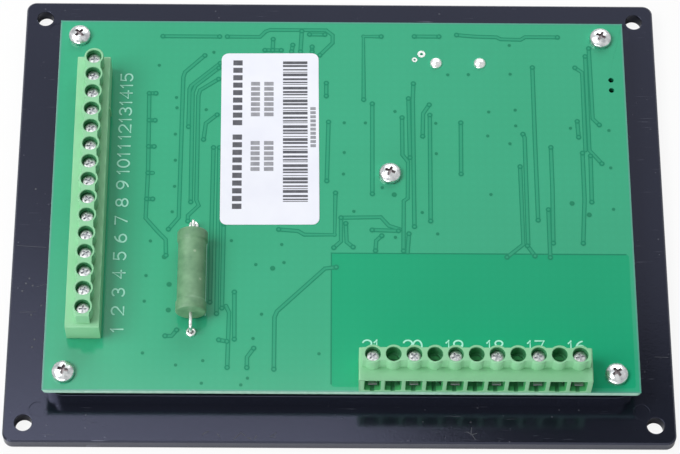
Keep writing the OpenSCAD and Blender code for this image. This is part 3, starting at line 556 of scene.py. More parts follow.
def new_tree(name, result, inputs):
    """A node group with inputs of the given kinds and one geometry result, and its input sockets."""
    tree = bpy.data.node_groups.new(name, "GeometryNodeTree")
    for title, kind in inputs.items():
        tree.interface.new_socket(title, in_out="INPUT", socket_type="NodeSocket" + kind)
    tree.interface.new_socket(result, in_out="OUTPUT", socket_type="NodeSocketGeometry")
    return tree, add(tree, "NodeGroupInput").outputs


def copies(tree, points, shape, **more):
    """A copy of a shape on every point."""
    settings = {"Points": points, "Instance": shape, **more}
    return add(tree, "GeometryNodeInstanceOnPoints", settings).outputs[0]


def paint(tree, geometry, finish, **more):
    """The tree with its end: copies made real, painted and handed out."""
    real = add(tree, "GeometryNodeRealizeInstances", {"Geometry": geometry}).outputs[0]
    painted = add(tree, "GeometryNodeSetMaterial", {"Geometry": real, "Material": finish, **more})
    add(tree, "NodeGroupOutput", {0: painted.outputs[0]})
    return tree


def ribbon_tree():
    """Edge chains in; flat ribbons with round joints out."""
    inputs = {"Paths": "Geometry", "Width": "Float", "Height": "Float", "Finish": "Material"}
    tree, given = new_tree("ribbon along a path", "Ribbons", inputs)
    half = merge(tree, "MULTIPLY", given["Width"], 0.5)
    # The discs lie just under the ribbon's upper face
    lift = merge(tree, "MULTIPLY", given["Height"], 0.45)
    paths = add(tree, "GeometryNodeMeshToCurve", {"Mesh": given["Paths"]}).outputs[0]
    flat = add(tree, "GeometryNodeSetCurveNormal", {"Curve": paths}, mode="Z_UP").outputs[0]
    sides = {"Width": given["Width"], "Height": given["Height"]}
    section = add(tree, "GeometryNodeCurvePrimitiveQuadrilateral", sides).outputs[0]
    sweep = {"Curve": flat, "Profile Curve": section, "Fill Caps": True}
    swept = add(tree, "GeometryNodeCurveToMesh", sweep).outputs[0]
    level = add(tree, "GeometryNodeSetShadeSmooth", {0: swept, "Shade Smooth": False}).outputs[0]
    ends = {"Vertices": 14, "Radius": half}
    disc = add(tree, "GeometryNodeMeshCircle", ends, fill_type="NGON").outputs[0]
    up = add(tree, "ShaderNodeCombineXYZ", {"Z": lift}).outputs[0]
    joints = {"Instances": copies(tree, given["Paths"], disc), "Translation": up}
    raised = add(tree, "GeometryNodeTranslateInstances", joints).outputs[0]
    both = add(tree, "GeometryNodeJoinGeometry")
    for part in (level, raised):
        tree.links.new(part, both.inputs[0])
    return paint(tree, both.outputs[0], given["Finish"])


def run_tree(tree, source, values):
    """Turns the source into the tree's result as plain mesh; values go to the inputs of those names."""
    modifier = source.modifiers.new(tree.name, "NODES")
    modifier.node_group = tree
    for socket in tree.interface.items_tree:
        if socket.name in values:
            modifier[socket.identifier] = values[socket.name]
    applied(source)


# Neighbouring paths differ a little in height, so that no two ribbons lie in one plane where they cross
PATH_STEP = 0.003


def path_mesh(name, paths, level):
    """Paths of points in millimetres as edge chains at a height above the board."""
    shape = bmesh.new()
    for order, path in enumerate(paths):
        height = (BOARD_TOP + level + order % 3 * PATH_STEP) * MM
        points = [shape.verts.new((x * MM, y * MM, height)) for x, y in path]
        for start, end in zip(points, points[1:]):
            shape.edges.new((start, end))
    bmesh.ops.remove_doubles(shape, verts=shape.verts, dist=WELD)
    return new_piece(name, shape)


ribbons = ribbon_tree()
RIBBON_T = 0.02


def lay_ribbons(name, paths, width, level, finish, slot="board_laminate"):
    """One piece with all the paths as ribbons on the board."""
    piece = path_mesh(name, paths, level)
    run_tree(ribbons, piece, {"Width": width * MM, "Height": RIBBON_T * MM, "Finish": finish})
    fit(piece, slot)


print("ribbon tree has", len(ribbons.nodes), "nodes")

# %% [markdown]
# ## The copper pattern
# Each path below was chosen from the wiring side, in millimetres from the board's middle. The
# pattern is a wide deep-green ribbon, the etched gap, with a narrow lighter one on it, the track itself.
# A broad area under the power terminals has no copper at all, so it is one darker sheet.

# %% Track paths
LEFT_TRACKS = [
    [(-46, 47.7), (-31.3, 47.7)],
    [(-35, 42), (-40, 37), (-40.4, 35.5), (-40.5, -5), (-43, -8.3)],
    [(-31, 39.7), (-38.3, 33), (-38.7, 32), (-38.7, 21)],
    [(-31.3, 38.3), (-37.2, 33), (-37.9, 31), (-37.6, -0.6)],
    [(-31.3, 35), (-36, 31.7), (-36.4, 30), (-36.2, 0), (-35.6, -1.6), (-38.2, -4.4), (-38.2, -6)],
    [(-31.5, 24.5), (-34.3, 22), (-34.8, 17.3)],
    [(-49, 30.7), (-48.6, 8), (-48.8, -5.2), (-45.8, -8.8), (-43.6, -11.2), (-43.4, -15.6)],
    [(-49, 30.7), (-47.3, 30.7)],
    [(-48.8, 22.8), (-47.3, 22.8)],
    [(-48.7, 15.2), (-47.3, 15.2)],
    [(-48.6, 7.6), (-47.4, 7.6)],
    [(-48.7, 0.2), (-47.2, 0.2)],
    [(-43, -37.6), (-41.4, -37.6), (-40.2, -36)],
]
TOP_TRACKS = [
    [
        (-29.3, 47.7), (-20.8, 47.7), (-19.4, 49.3), (-18.2, 49.8),
        (-3.7, 49.8), (-2, 48.3), (-2, 46), (-5.3, 42.3),
    ],
    [(-17.4, 47), (-17.5, 43.7)],
    [(-19.5, 43.7), (-15.3, 43.7)],
    [(-10, 49.5), (-10.3, 43.3)],
    [(-8, 48.5), (-4, 48.5)],
    [(-7.3, 44.8), (-7.3, 43.3)],
    [(-12.3, 45.3), (-12.6, 43.3)],
    [(10.6, 48), (6, 48), (6, 29.2)],
    [(19.2, 48.1), (25.6, 48.1)],
    [(30.2, 48.6), (34.4, 48.2), (40.6, 48), (41.6, 47.4), (46.8, 47.3), (48, 48.1), (56.4, 48.1)],
]
LABEL_FOOT_TRACKS = [
    [(-32.2, 15), (-32.2, -28.4)],
    [(-30.7, 15), (-30.5, -31.5)],
    [(-29.2, -6.8), (-29.2, -30)],
    [(-26.2, -25.6), (-26, -38.4)],
    [(-28.2, -29.4), (-27.4, -31.2), (-27.6, -46)],
    [(-29.8, -38.6), (-27.8, -39)],
    [(-21.2, -40.8), (-22.8, -43.2), (-22.8, -46)],
    [(-1, -18.6), (-3.8, -19), (-15.6, -30.8), (-16.2, -32.4), (-16.2, -46.4)],
    [(-15.4, -8.2), (-10.6, -8.6), (-9, -9.6), (-1.4, -9.6), (-1.2, 2.2)],
    [(0.2, -4.8), (0.2, -11.4), (-1.6, -13.2)],
]
MIDDLE_TRACKS = [
    [(8.2, 28), (8.1, 2)],
    [(-3, 22.6), (-3.4, 5.6)],
    [(-3.6, 34), (-3.6, 30.2)],
    [(18.8, 34), (18.6, 29), (18.6, -7.2)],
    [(17.5, 29.6), (17.7, 12.4)],
    [(15.8, 24), (15.8, 13.2), (17.2, 11.2), (17, 0.8), (16, 0), (15.8, -14)],
    [(22.8, 27.8), (21.2, 25.2), (21, 18.6)],
    [(22.9, 24.8), (22.7, -5.6)],
    [(30.8, 22.6), (30.6, 7.8)],
    [(0.2, -4.8), (10.2, -4.6), (12.2, -7), (15, -8)],
    [(8, -8.2), (14.6, -8.4)],
    [(10.4, -9.8), (9, -11.2), (8.8, -14)],
    [(1.4, -6.4), (1.6, -11.6), (3.2, -13)],
    [(17.2, -9.2), (16.8, -14.4)],
]
RIGHT_TRACKS = [
    [(49.6, 39), (49.6, 17.6), (49.7, -5.2)],
    [(46.6, 19.4), (47, 18.4), (47, -12)],
    [(45.6, 10), (45.8, -12), (41.6, -15.6)],
    [(46.8, -12.4), (48.6, -15.2)],
    [(53.6, 15.6), (53.6, 4), (53.3, -11.6)],
    [(52.4, -2.2), (52.4, -15.6)],
    [(60.6, 39), (62.4, 37.6), (62.4, 14.8)],
    [(63.4, 42.4), (63.4, 14.8), (66.4, 11)],
    [(64.4, 44.8), (64.6, 24), (66.2, 22.2)],
    [(60.6, 23.2), (60.8, 18.6)],
    [(61.6, 14), (61.6, 0.8), (60.8, -11.6)],
    [(63.6, 13.2), (63.4, 0)],
]
TRACKS = LEFT_TRACKS + TOP_TRACKS + LABEL_FOOT_TRACKS + MIDDLE_TRACKS + RIGHT_TRACKS
print("tracks:", len(TRACKS), "with", sum(len(t) for t in TRACKS), "points")

# %% Lay the copper pattern
# Heights of the layers over the board's top, which keep each one clear of the next
CLEAR_LEVEL = 0.008
STEP_LEVEL = 0.011
RIM_LEVEL = 0.015
GAP_LEVEL = 0.02
TRACK_LEVEL = 0.03
TINNED_LEVEL = 0.045
TEST_HOLE_LEVEL = 0.05
VIA_LEVEL = 0.055
PAD_LEVEL = 0.058
INK_LEVEL = 0.06
PAD_CENTRE_LEVEL = 0.062

GAP_W = 1.15
TRACK_W = 0.6
RIM_W = 0.5
rim_x = [board_low[0] / MM + RIM_W / 2, board_high[0] / MM - RIM_W / 2]
rim_y = [board_low[1] / MM + RIM_W / 2, board_high[1] / MM - RIM_W / 2]
rim_path = [(rim_x[i], rim_y[j]) for i, j in [(0, 0), (1, 0), (1, 1), (0, 1), (0, 0)]]
# A pale ribbon along the rim: partly thin mask over pale laminate, partly a painted highlight of the cut
# edge
lay_ribbons("board_rim", [rim_path], RIM_W, RIM_LEVEL, rim_mask_and_highlight)
lay_ribbons("etched_gaps", TRACKS, GAP_W, GAP_LEVEL, mask_in_gap)
lay_ribbons("copper_tracks", TRACKS, TRACK_W, TRACK_LEVEL, mask_on_track)

# Area without copper: its left and upper borders, the copper rim kept at the board's edge, its corners
# and the width of the step along it
CLEAR_LEFT = -2.2
CLEAR_TOP = -14.7
CLEAR_RIM = 1.3
CLEAR_ROUND = 0.8
STEP_W = 0.4


def clear_area():
    """The sheet of darker lacquer under the power terminals."""
    right = board_high[0] / MM - CLEAR_RIM
    bottom = board_low[1] / MM + CLEAR_RIM
    level = (BOARD_TOP + CLEAR_LEVEL) * MM
    corners = [(CLEAR_LEFT, bottom), (right, bottom), (right, CLEAR_TOP), (CLEAR_LEFT, CLEAR_TOP)]
    shape = bmesh.new()
    shape.faces.new([shape.verts.new((x * MM, y * MM, level)) for x, y in corners])
    rounding = {"offset": CLEAR_ROUND * MM, "segments": 4, "profile": 0.5, "affect": "VERTICES"}
    bmesh.ops.bevel(shape, geom=list(shape.verts), **rounding)
    piece = new_piece("copper_free_area", shape, mask_on_laminate)
    fit(piece, "board_laminate")
    # The copper ends in a small step, which shows as a dark line along the two inner borders
    low_end = (CLEAR_LEFT, bottom + CLEAR_ROUND)
    right_end = (right - CLEAR_ROUND, CLEAR_TOP)
    step = [low_end, (CLEAR_LEFT, CLEAR_TOP), right_end]
    lay_ribbons("copper_step", [step], STEP_W, STEP_LEVEL, mask_in_gap)


clear_area()

# %% [markdown]
# ## Holes between the copper layers, and pads
# The board is dotted with small plated holes filled with lacquer, and each track ends in a round pad. Both
# repeat, so they are points with a size, and a second tree sets a disc of that size on each.

# %% Dot tree


def dot_tree():
    """Points with a size in; flat discs out."""
    tree, given = new_tree("dots at points", "Dots", {"Points": "Geometry", "Finish": "Material"})
    stored = {"Name": "dot_size"}
    size = add(tree, "GeometryNodeInputNamedAttribute", stored, data_type="FLOAT").outputs[0]
    unit = {"Vertices": 20, "Radius": 0.5}
    disc = add(tree, "GeometryNodeMeshCircle", unit, fill_type="NGON").outputs[0]
    return paint(tree, copies(tree, given["Points"], disc, Scale=size), given["Finish"])


dots = dot_tree()


def lay_dots(name, spots, level, finish, slot="board_laminate", base=BOARD_TOP):
    """Discs at (x, y, diameter) in millimetres, as one piece."""
    shape = bmesh.new()
    size = shape.verts.layers.float.new("dot_size")
    for x, y, diameter in spots:
        point = shape.verts.new((x * MM, y * MM, (base + level) * MM))
        point[size] = diameter * MM
    piece = new_piece(name, shape)
    run_tree(dots, piece, {"Finish": finish})
    fit(piece, slot)
    return piece


print("dot tree has", len(dots.nodes), "nodes")

# %% Vias and pads
SMALL_VIAS = [
    (6.4, 22.4), (1, 22.4), (14, 25.8), (24.4, 22.4), (24.4, 13.6), (1, 13.8), (10.6, 3.8),
    (24.4, -9.2), (20.6, -3.2), (0.8, 7.6), (3.4, -3), (13.8, -10.2), (43.2, 16.6), (44.8, 26.4),
    (44.8, 21.8), (43.8, 37), (43.8, 45.6), (38, 2), (37.6, 18.8), (58.8, 21.2), (68.6, 20.6),
    (68.6, 9.8), (68.8, -2), (38, 25.8), (-46.7, 39), (-32.7, 43), (-42, 29.5), (-41.8, 26.5),
    (-42, 18.8), (-41.8, 11.3), (-34.3, 26), (-47.4, -11.6), (-27.2, -11.4), (-41.8, 3.8),
    (-42.2, -3.4), (-48.2, -21.2), (-48.4, -28.2), (-48.4, -42.2), (-14, -17.4), (-14.6, -12.4),
    (-21, -18), (-19.4, -31.6), (-21.4, -38.2), (-5.2, -42.2), (-33.8, -50.2), (-24.2, -50.6),
    (-22.6, -48.8), (27.7, 36.7), (33, 36.8), (-40.2, -45.4), (-33.6, -44.2),
]
LARGE_VIAS = [
    (13.6, 1.8), (58.4, -0.4), (-16.8, -19), (62.6, -3.6), (-43.8, -16), (-42.4, -23.6), (-42.4, -30.6),
]
VIA_D = 0.85
LARGE_VIA_D = 1.3
PAD_D = 1.4
PAD_CENTRE_D = PAD_D * 0.45
via_spots = [(x, y, VIA_D) for x, y in SMALL_VIAS] + [(x, y, LARGE_VIA_D) for x, y in LARGE_VIAS]


def spaced(spots, apart):
    """The spots, less those that lie nearer than a distance to one that is kept."""
    kept = []
    for spot in spots:
        if all(math.dist(spot, other) >= apart for other in kept):
            kept.append(spot)
    return kept


track_ends = sorted({track[end] for track in TRACKS for end in (0, -1)})
pads = spaced(track_ends, PAD_D)
lay_dots("plated_vias", via_spots, VIA_LEVEL, mask_in_hole)
lay_dots("track_pads", [(x, y, PAD_D) for x, y in pads], PAD_LEVEL, mask_in_gap)
lay_dots("track_pad_centres", [(x, y, PAD_CENTRE_D) for x, y in pads], PAD_CENTRE_LEVEL, mask_on_track)

# %% [markdown]
# ## Handling marks
# A few marks on the flange are large enough to pick out: a star of three scratches near the power
# terminals, a row of scribbles in the middle of the near side, fine scratches at both sides and a group of
# nicks on the left. Ribbons and dots serve for these too.

# %% Scratches and nicks
STAR = [
    [(31.1, -59.4), (32.3, -60.1), (33.1, -61.4)],
    [(32.3, -58.3), (32.1, -60.2)],
    [(32.1, -60.2), (33.5, -59.8)],
]
SCRIBBLES = [
    [(-33.5, -60.4), (-32.1, -59.5)],
    [(-29.9, -60.3), (-29.3, -61)],
    [(-25.8, -61.6), (-24.2, -59.9), (-23.2, -60.7)],
    [(-22.5, -61.2), (-21.7, -61.6)],
    [(-20.3, -60.7), (-20.9, -61.6)],
    [(-15.6, -60), (-17, -60.9), (-15.8, -61.1)],
]
SIDE_SCRATCHES = [
    [(-81.5, -9.2), (-74.2, -9.7)],
    [(-76.1, -20.8), (-73.6, -19.9)],
    [(-79.8, -27.8), (-75.8, -27.6)],
    [(78.2, -39.1), (81.5, -39.2)],
]
NICKS = [
    (-77.9, -18.4), (-78.7, -19.8), (-77, -20.4), (-79.5, -21.9), (-74.6, -25.9), (-77, -28.5),
    (-75.8, -35.2), (-76.3, -37.3), (-77.6, 6.9),
]
SCRATCH_W = 0.22
FINE_SCRATCH_W = 0.1
SCRATCH_LEVEL = 0.002
NICK_D = 0.5
NICK_LEVEL = 0.012
on_flange = FLANGE_TOP - BOARD_TOP + SCRATCH_LEVEL
mark = (scratched, "black_housing")
lay_ribbons("flange_scratches", STAR + SCRIBBLES, SCRATCH_W, on_flange, *mark)
lay_ribbons("flange_fine_scratches", SIDE_SCRATCHES, FINE_SCRATCH_W, on_flange, *mark)
lay_dots("flange_nicks", [(x, y, NICK_D) for x, y in NICKS], NICK_LEVEL, *mark, FLANGE_TOP)

# %% [markdown]
# ## Rows of equal things
# The frame gives one box round all the solids of a node. Terminals, lamps and most screws stand in even
# rows, so that box, the radius of one of them and their number give every centre.

# %% Rows of equal things


def middle(box, axis):
    """The middle of a box along an axis, in millimetres."""
    return (box[0][axis] + box[1][axis]) / 2 / MM


def extent(box, axis):
    """The length of a box along an axis, in millimetres."""
    return (box[1][axis] - box[0][axis]) / MM


def row(box, axis, radius, count):
    """Centres of equal round things in a row, in millimetres, from the box round all of them."""
    first = box[0][axis] / MM + radius
    step = (box[1][axis] / MM - radius - first) / (count - 1)
    return [first + i * step for i in range(count)]


SIDE_WAYS = 15
LOWER_WAYS = 6
side_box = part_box("side_clamp_screws")
lower_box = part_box("lower_clamp_screws")
CLAMP_R = extent(lower_box, 1) / 2
side_ys = row(side_box, 1, CLAMP_R, SIDE_WAYS)
lower_xs = row(lower_box, 0, CLAMP_R, LOWER_WAYS)
print("terminal pitch:", round(side_ys[1] - side_ys[0], 2), "mm")

# %% [markdown]
# ## Printed numerals
# Every terminal has its number beside it in white ink. The plotter that drew them used single strokes, so
# each figure here is a few strokes on a grid one unit high, with arcs from a formula, laid as ribbons.

# %% Figures as strokes
FIGURE_W = 0.72


def arc(cx, cy, rx, ry, start, end, steps=12):
    """Points on an ellipse from one angle to another, in degrees."""
    angles = [math.radians(start + (end - start) * i / steps) for i in range(steps + 1)]
    return [(cx + rx * math.cos(a), cy + ry * math.sin(a)) for a in angles]


def turned_round(strokes):
    """The figure turned by half a turn in its own box."""
    return [[(FIGURE_W - x, 1 - y) for x, y in stroke] for stroke in strokes]


MID = FIGURE_W / 2
SIX = [
    arc(MID, 0.3, MID, 0.3, 0, 360, 20),
    arc(FIGURE_W * 0.95, 0.32, FIGURE_W * 0.95, 0.68, 105, 178),
]
FIGURES = {
    "0": [arc(MID, 0.5, MID, 0.5, 0, 360, 24)],
    "1": [[(MID * 0.45, 0.78), (MID, 1), (MID, 0)]],
    "2": [arc(MID, 0.71, MID, 0.29, 165, -38) + [(0, 0), (FIGURE_W, 0)]],
    "3": [arc(MID, 0.75, MID * 0.9, 0.25, 155, -90), arc(MID, 0.26, MID, 0.26, 90, -155)],
    "4": [[(FIGURE_W * 0.7, 0), (FIGURE_W * 0.7, 1), (0, 0.32), (FIGURE_W, 0.32)]],
    "5": [[(FIGURE_W * 0.92, 1), (0.1, 1), (0.05, 0.56)] + arc(MID, 0.32, MID, 0.32, 125, -150)],
    "6": SIX,
    "7": [[(0, 1), (FIGURE_W, 1), (FIGURE_W * 0.35, 0)]],
    "8": [arc(MID, 0.75, MID * 0.85, 0.25, 0, 360, 18), arc(MID, 0.25, MID, 0.25, 0, 360, 18)],
    "9": turned_round(SIX),
}
print("figures:", " ".join(FIGURES))

# %% Place the numerals
FIGURE_H = 2.95
FIGURE_STEP = 2.34
INK_W = 0.42


def number_paths(number, centre, turn):
    """The strokes of a number about its centre, turned by an angle in degrees."""
    figures = str(number)
    spin = Matrix.Rotation(math.radians(turn), 2)
    paths = []
    for place, figure in enumerate(figures):
        shift = (place - (len(figures) - 1) / 2) * FIGURE_STEP
        for stroke in FIGURES[figure]:
            local = [Vector(((x - MID) * FIGURE_H + shift, (y - 0.5) * FIGURE_H)) for x, y in stroke]
            paths.append([tuple(spin @ p + Vector(centre)) for p in local])
    return paths


SIDE_NUMBER_X = -54.9
SIDE_NUMBER_SHIFT = -1.1
LOWER_NUMBER_Y = -39.95
LAST_NUMBER = SIDE_WAYS + LOWER_WAYS
RESISTOR_LINE = [(-33.3, -12), (-33.3, -32)]
RESISTOR_LINE_W = 0.25
numerals = []
for way, y in enumerate(side_ys):
    numerals += number_paths(way + 1, (SIDE_NUMBER_X, y + SIDE_NUMBER_SHIFT), 90)
for way, x in enumerate(lower_xs):
    numerals += number_paths(LAST_NUMBER - way, (x, LOWER_NUMBER_Y), 0)
lay_ribbons("printed_numerals", numerals, INK_W, INK_LEVEL, silkscreen)
lay_ribbons("resistor_outline", [RESISTOR_LINE], RESISTOR_LINE_W, INK_LEVEL, silkscreen)

# %% [markdown]
# ## Turned pieces
# Screws, solder beads and the resistor are all round. Each point of a half profile in millimetres makes a
# ring about the Z axis, with faces from ring to ring. The poles close once the doubles are merged.

# %% Turning helper


def turned(profile, steps=40):
    """A closed solid of revolution from (radius, height) points that start and end on the axis."""
    shape = bmesh.new()
    sides = level_directions(steps)
    rings = []
    for r, z in profile:
        height = Vector((0, 0, z))
        rings.append([shape.verts.new((side * r + height) * MM) for side in sides])
    for lower, upper in zip(rings, rings[1:]):
        for i in range(steps):
            shape.faces.new((lower[i - 1], lower[i], upper[i], upper[i - 1]))
    bmesh.ops.remove_doubles(shape, verts=shape.verts, dist=WELD)
    bmesh.ops.recalc_face_normals(shape, faces=shape.faces)
    return shape


def cross_cutter(top, finish, span, width, depth, taper):
    """A tapered cross that reaches from below the given height to above it."""
    shape = bmesh.new()
    for angle in (0, 90):
        arm = bmesh.ops.create_cube(shape, size=1)["verts"]
        for corner in arm:
            lower = corner.co.z < 0
            shrink = taper if lower else 1
            x = corner.co.x * span * shrink
            y = corner.co.y * width * shrink
            z = top - depth if lower else top + 1
            corner.co = Matrix.Rotation(math.radians(angle), 3, "Z") @ Vector((x, y, z)) * MM
    return new_piece("cross", shape, finish)


def cut(piece, cutter):
    """Takes the cutter out of the piece, with the cutter's finish on the cut; the cutter goes."""
    knife = piece.modifiers.new("recess", "BOOLEAN")
    knife.operation = "DIFFERENCE"
    knife.solver = "EXACT"
    knife.use_self = True
    knife.material_mode = "TRANSFER"
    knife.object = cutter
    applied(piece)
    bpy.data.objects.remove(cutter)


# %% [markdown]
# ## Screws
# Five zinc-plated pan-head screws hold the board, and twenty-one nickel-plated ones clamp the wires. One
# of each kind is turned, its cross recess is cut with a tapered cutter, which leaves its own darker, dull
# finish on the cut faces, partly grime and partly painted shade, and a tree sets the screw on every point
# with a random turn, because no fitter leaves all the crosses in line. The seeds are fixed. The tree paints
# every face but those of the recess.

# %% Screw models
HEAD_R = 2.85
HEAD_H = 2.2
HEAD_RIM = 0.7
HEAD_BREAK = 0.15
SHANK_R = 1.2
SHANK_ROOT = 0.95
SHANK_LEN = 6.5
THREAD_PITCH = 0.8
PAN_CROSS = {"span": 3.6, "width": 1.0, "depth": 1.0, "taper": 0.55}
CLAMP_CROSS = {"span": 2.5, "width": 0.62, "depth": 0.5, "taper": 0.7}


def dome(radius, low, high, steps=8):
    """Profile points of a flat dome from its rim to the axis."""
    angles = [math.radians(90 * i / steps) for i in range(steps + 1)]
    return [(radius * math.cos(a), low + (high - low) * math.sin(a)) for a in angles]


def thread(radius, root, length):
    """Profile points of a plain ridged shank from its tip up to zero."""
    ridges = int(length / THREAD_PITCH)
    points = []
    for i in range(ridges):
        low = -length + i * THREAD_PITCH
        points += [(root, low), (radius, low + THREAD_PITCH / 2)]
    return [(0, -length)] + points + [(root, 0)]


shank = thread(SHANK_R, SHANK_ROOT, SHANK_LEN)
under_head = [(HEAD_R - HEAD_BREAK, 0), (HEAD_R, HEAD_BREAK)]
pan_shape = turned(shank + under_head + dome(HEAD_R, HEAD_RIM, HEAD_H))
pan_screw = new_piece("pan_screw_model", pan_shape, zinc_plate)
cut(pan_screw, cross_cutter(HEAD_H, recess_zinc_grime_and_shade, **PAN_CROSS))
smooth(pan_screw, 40)

CLAMP_HEAD_H = 1.8
CLAMP_BREAK = 0.1
CLAMP_CHAMFER = 0.16
CLAMP_SHANK_R = 1.2
clamp_foot, clamp_top = (corner[2] / MM for corner in lower_box)
clamp_seat = clamp_top - CLAMP_HEAD_H
clamp_profile = [
    (0, clamp_foot),
    (CLAMP_SHANK_R, clamp_foot),
    (CLAMP_SHANK_R, clamp_seat),
    (CLAMP_R - CLAMP_BREAK, clamp_seat),
    (CLAMP_R, clamp_seat + CLAMP_BREAK),
    (CLAMP_R, clamp_top - CLAMP_CHAMFER),
    (CLAMP_R - CLAMP_CHAMFER * 0.6, clamp_top - CLAMP_CHAMFER * 0.3),
    (CLAMP_R - CLAMP_CHAMFER * 1.5, clamp_top),
    (0, clamp_top),
]
clamp_screw = new_piece("clamp_screw_model", turned(clamp_profile, 32), nickel_screw)
cut(clamp_screw, cross_cutter(clamp_top, recess_nickel_grime_and_shade, **CLAMP_CROSS))
smooth(clamp_screw, 40)
print("screw models:", len(pan_screw.data.polygons), "and", len(clamp_screw.data.polygons), "faces")

# %% Fastener tree


def fastener_tree():
    """Points in; copies of a model on them out, each with its own turn about Z."""
    inputs = {"Points": "Geometry", "Model": "Object", "Seed": "Int"}
    inputs |= {"Finish": "Material", "Recess Finish": "Material"}
    tree, given = new_tree("fasteners at points", "Fasteners", inputs)
    model = add(tree, "GeometryNodeObjectInfo", {"Object": given["Model"]}).outputs["Geometry"]
    full_turn = {3: math.tau, "Seed": given["Seed"]}
    angle = add(tree, "FunctionNodeRandomValue", full_turn, data_type="FLOAT").outputs[1]
    turn = add(tree, "ShaderNodeCombineXYZ", {"Z": angle}).outputs[0]
    cut_faces = {"Material": given["Recess Finish"]}
    recess = add(tree, "GeometryNodeMaterialSelection", cut_faces).outputs[0]
    outside = add(tree, "FunctionNodeBooleanMath", {0: recess}, operation="NOT").outputs[0]
    placed = copies(tree, given["Points"], model, Rotation=turn)
    return paint(tree, placed, given["Finish"], Selection=outside)


fasteners = fastener_tree()


def set_fasteners(name, model, spots, seed, finish, recess, slot, *nodes):
    """A model on every spot, given in millimetres, as one piece that stands for the nodes."""
    shape = bmesh.new()
    for spot in spots:
        shape.verts.new([v * MM for v in spot])
    piece = new_piece(name, shape)
    values = {"Model": model, "Seed": seed, "Finish": finish, "Recess Finish": recess}
    run_tree(fasteners, piece, values)
    fit(piece, slot, *nodes)


MIDDLE_SCREW = (12.6, 7.6)
screw_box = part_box("board_screws")
corners = [(x, y) for x in row(screw_box, 0, HEAD_R, 2) for y in row(screw_box, 1, HEAD_R, 2)]
screw_spots = [(x, y, BOARD_TOP) for x, y in corners + [MIDDLE_SCREW]]
side_spots = [(middle(side_box, 0), y, 0) for y in side_ys]
lower_spots = [(x, middle(lower_box, 1), 0) for x in lower_xs]
pan_finish = (zinc_plate, recess_zinc_grime_and_shade, "zinc_steel")
clamp_finish = (nickel_screw, recess_nickel_grime_and_shade, "zinc_steel")
set_fasteners("board_fixing_screws", pan_screw, screw_spots, 4, *pan_finish, "board_screws")
set_fasteners("side_wire_screws", clamp_screw, side_spots, 7, *clamp_finish, "side_clamp_screws")
set_fasteners("lower_wire_screws", clamp_screw, lower_spots, 11, *clamp_finish, "lower_clamp_screws")
for model in (pan_screw, clamp_screw):
    bpy.data.objects.remove(model)

# %% [markdown]
# ## Power resistor and solder beads
# The resistor is a ceramic rod between two pressed caps, dipped in enamel that runs over both, so its
# outline swells softly at the ends. Its two solder joints have sunk into their holes, which leaves a bright
# ring round each wire. The two beads of the diode have closed over the wire and are round.

# %% Resistor body
tube_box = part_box("power_resistor")
TUBE_HALF = extent(tube_box, 1) / 2
CAP_R = extent(tube_box, 0) / 2
CAP_LEN = 2.7
CAP_ROUND = 0.5
SWELL_H = 0.3
SWELL_LEN = 0.8
SWELL_BACK = 0.5
SWELL_STEPS = 6
TUBE_R = CAP_R - SWELL_H
SWELL_START = TUBE_HALF - CAP_LEN - SWELL_BACK


def cap_end(sign):
    """Profile points of one dipped cap, from the tube out to the axis."""
    parts = [i / SWELL_STEPS for i in range(SWELL_STEPS + 1)]
    swell = [(TUBE_R + (CAP_R - TUBE_R) * (1 - math.cos(math.pi * t)) / 2, t) for t in parts]
    inner = [(r, sign * (SWELL_START + t * SWELL_LEN)) for r, t in swell]
    corner = arc(CAP_R - CAP_ROUND, 0, CAP_ROUND, CAP_ROUND, 0, 90, 6)
    outer = [(r, sign * (TUBE_HALF - CAP_ROUND + z)) for r, z in corner]
    return inner + outer + [(0, sign * TUBE_HALF)]


tube_profile = list(reversed(cap_end(-1))) + [(TUBE_R, 0)] + cap_end(1)
tube_shape = turned(tube_profile, 48)
tube_mid = (Vector(tube_box[0]) + Vector(tube_box[1])) / 2
lay_down = Matrix.Translation(tube_mid) @ Matrix.Rotation(math.radians(90), 4, "X")
bmesh.ops.transform(tube_shape, matrix=lay_down, verts=tube_shape.verts)
resistor = new_piece("enamelled_resistor", tube_shape, enamel)
smooth(resistor, 60)
fit(resistor, "resistor_enamel", "power_resistor")

# %% Solder beads
joint_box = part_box("lead_solder_joints")
bead_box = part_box("diode_solder_joints")
JOINT_R = extent(joint_box, 0) / 2
JOINT_H = extent(joint_box, 2)
BEAD_R = extent(bead_box, 1) / 2
BEAD_H = extent(bead_box, 2)
ROLL_W = 0.4
HOLLOW_FLOOR = 0.1
roll = arc(0, HOLLOW_FLOOR, 1, 1 - HOLLOW_FLOOR, 0, 180, 10)
rolled = [(JOINT_R - ROLL_W + ROLL_W * r, JOINT_H * z) for r, z in roll]
joint_model = new_piece("joint_model", turned([(0, 0)] + rolled + [(0, HOLLOW_FLOOR)], 28))
bead_model = new_piece("bead_model", turned([(0, 0)] + dome(BEAD_R, 0, BEAD_H), 28))
for model in (joint_model, bead_model):
    smooth(model, 50)
joint_spots = [(middle(joint_box, 0), y, BOARD_TOP) for y in row(joint_box, 1, JOINT_R, 2)]
bead_spots = [(x, middle(bead_box, 1), BOARD_TOP) for x in row(bead_box, 0, BEAD_R, 2)]
bead_finish = (solder, solder, "solder")
set_fasteners("lead_beads", joint_model, joint_spots, 2, *bead_finish, "lead_solder_joints")
set_fasteners("diode_beads", bead_model, bead_spots, 3, *bead_finish, "diode_solder_joints")
for model in (joint_model, bead_model):
    bpy.data.objects.remove(model)
